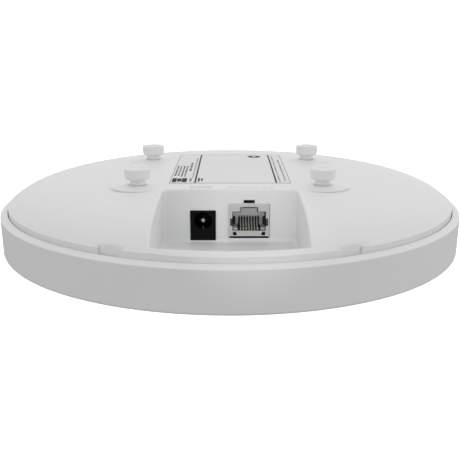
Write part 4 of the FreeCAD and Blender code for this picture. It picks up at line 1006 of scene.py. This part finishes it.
# raised signs over the ports: the polarity sign, and a plain row of bars
def makeLegends(size, arms, bracket, words):
    y, thin, tall = size["y"], size["thin"], size["tall"]
    signs = [("minusRing", size["centre"] - size["apart"], size["endRing"]),
             ("plusRing", size["centre"] + size["apart"], size["endRing"]),
             ("centreRing", size["centre"], size["middleRing"]), ("centreDot", size["centre"], size["dot"])]
    shapes = [flatShape(name, [ovalLoop(x, y, *reach) for reach in loops]) for name, x, loops in signs]
    shapes.append(strips("arms", [(start, y - thin, end, y + thin) for start, end in arms]))
    row = [(bracket["left"], y - tall, bracket["stem"], y + tall),
           (bracket["armStart"], y - tall, bracket["armEnd"], y - bracket["armInner"]),
           (bracket["armStart"], y + bracket["armInner"], bracket["armEnd"], y + tall)]
    row += [(start, y - tall, end, y + tall) for start, end in words]
    for name, mesh in (("powerLegend", joined("powerLegend", shapes)),
                       ("portLegend", strips("portLegend", row))):
        raised = drape(linked(name, mesh), size["lift"], size["height"])
        fit(raised, finishes["cover_plastic"])


makeLabelPrint(label, badge, badgeBars, printLines)
makeLegends(legend, legendArms, legendBracket, legendWords)
print("label and legends made")


# Stage

studio = {"radius": 3000, "bend": 900, "height": 4500, "color": "#f4f4f4", "rough": 0.9, "glow": 1.0,
          "segments": 96}


def addFloor(size):  # pale round sweep seen only by the camera, while the soft world does the lighting
    floor = turned("floor",
                   [(0, 0, 0), (size["radius"], 0, size["bend"]), (size["radius"], size["height"], 0)],
                   size["segments"])
    material, _, shader, _ = newMaterial("paleFloor")
    shader.inputs["Base Color"].default_value = hexColor(size["color"])
    shader.inputs["Roughness"].default_value = size["rough"]
    shader.inputs["Emission Color"].default_value = (1, 1, 1, 1)
    shader.inputs["Emission Strength"].default_value = size["glow"]
    floor.data.materials.clear()
    floor.data.materials.append(material)
    for kind in ("diffuse", "glossy", "transmission", "shadow"):
        setattr(floor, "visible_" + kind, False)


sky = {"above": 0.77, "below": 0.27, "blend": 0.06, "rightBoost": 0.09, "backBoost": 0.18,
       "lowBoost": 0.40, "lowTop": 0.6}


# even white room: darker under the table line, brighter low down, behind and on the right
def addWorld(size):
    world = bpy.data.worlds.new("softStudio")
    world.use_nodes = True
    tree = world.node_tree
    direction = addNode(tree, "ShaderNodeTexCoord").outputs["Generated"]
    split = addNode(tree, "ShaderNodeSeparateXYZ", {"Vector": direction})
    level = addNode(tree, "ShaderNodeMapRange",
                    {"Value": split.outputs["Z"], "From Min": -size["blend"], "From Max": size["blend"],
                     "To Min": size["below"], "To Max": size["above"]})
    right = addNode(tree, "ShaderNodeMath", {0: split.outputs["X"], 1: size["rightBoost"], 2: 1.0},
                    operation="MULTIPLY_ADD")
    whole = addNode(tree, "ShaderNodeMath",
                    {0: split.outputs["Y"], 1: size["backBoost"], 2: right.outputs[0]},
                    operation="MULTIPLY_ADD")
    low = addNode(tree, "ShaderNodeMapRange",
                  {"Value": split.outputs["Z"], "From Min": 0.0, "From Max": size["lowTop"],
                   "To Min": size["lowBoost"], "To Max": 0.0})
    total = addNode(tree, "ShaderNodeMath", {0: whole.outputs[0], 1: low.outputs["Result"]},
                    operation="ADD")
    strength = addNode(tree, "ShaderNodeMath", {0: level.outputs["Result"], 1: total.outputs[0]},
                       operation="MULTIPLY")
    background = tree.nodes["Background"]
    background.inputs["Color"].default_value = (1, 1, 1, 1)
    tree.links.new(strength.outputs[0], background.inputs["Strength"])
    bpy.context.scene.world = world


portLight = {"target": (0.0069, -0.031, 0.0155), "distance": 0.9, "elevation": 13.5, "cone": 1.15,
             "blend": 0.5, "radius": 0.02, "power": 23.0}


def addPortLight(size):  # narrow lamp from the front that reaches into the network port
    data = bpy.data.lights.new("portLight", "SPOT")
    data.spot_size = math.radians(size["cone"])
    data.spot_blend = size["blend"]
    data.shadow_soft_size = size["radius"]
    data.energy = size["power"]
    lamp = bpy.data.objects.new("portLight", data)
    pitch = math.radians(size["elevation"])
    towards = Vector((0, -math.cos(pitch), math.sin(pitch)))
    lamp.location = Vector(size["target"]) + size["distance"] * towards
    lamp.rotation_euler = (math.radians(90) - pitch, 0, 0)
    bpy.context.scene.collection.objects.link(lamp)


cameraView = {"elevation": 15.25, "distance": 0.293, "targetZ": 0.00195, "lens": 55.25, "sensor": 36,
              "near": 0.01}


def addCamera(view):
    data = bpy.data.cameras.new("camera")
    data.lens = view["lens"]
    data.sensor_width = view["sensor"]
    data.clip_start = view["near"]
    camera = bpy.data.objects.new("camera", data)
    pitch = math.radians(view["elevation"])
    towards = Vector((0, -math.cos(pitch), math.sin(pitch)))
    camera.location = Vector((0, 0, view["targetZ"])) + view["distance"] * towards
    camera.rotation_euler = (math.radians(90) - pitch, 0, 0)
    bpy.context.scene.collection.objects.link(camera)
    bpy.context.scene.camera = camera


addFloor(studio)
addWorld(sky)
addPortLight(portLight)
addCamera(cameraView)
bpy.context.scene.view_settings.view_transform = "Standard"
print("stage set")
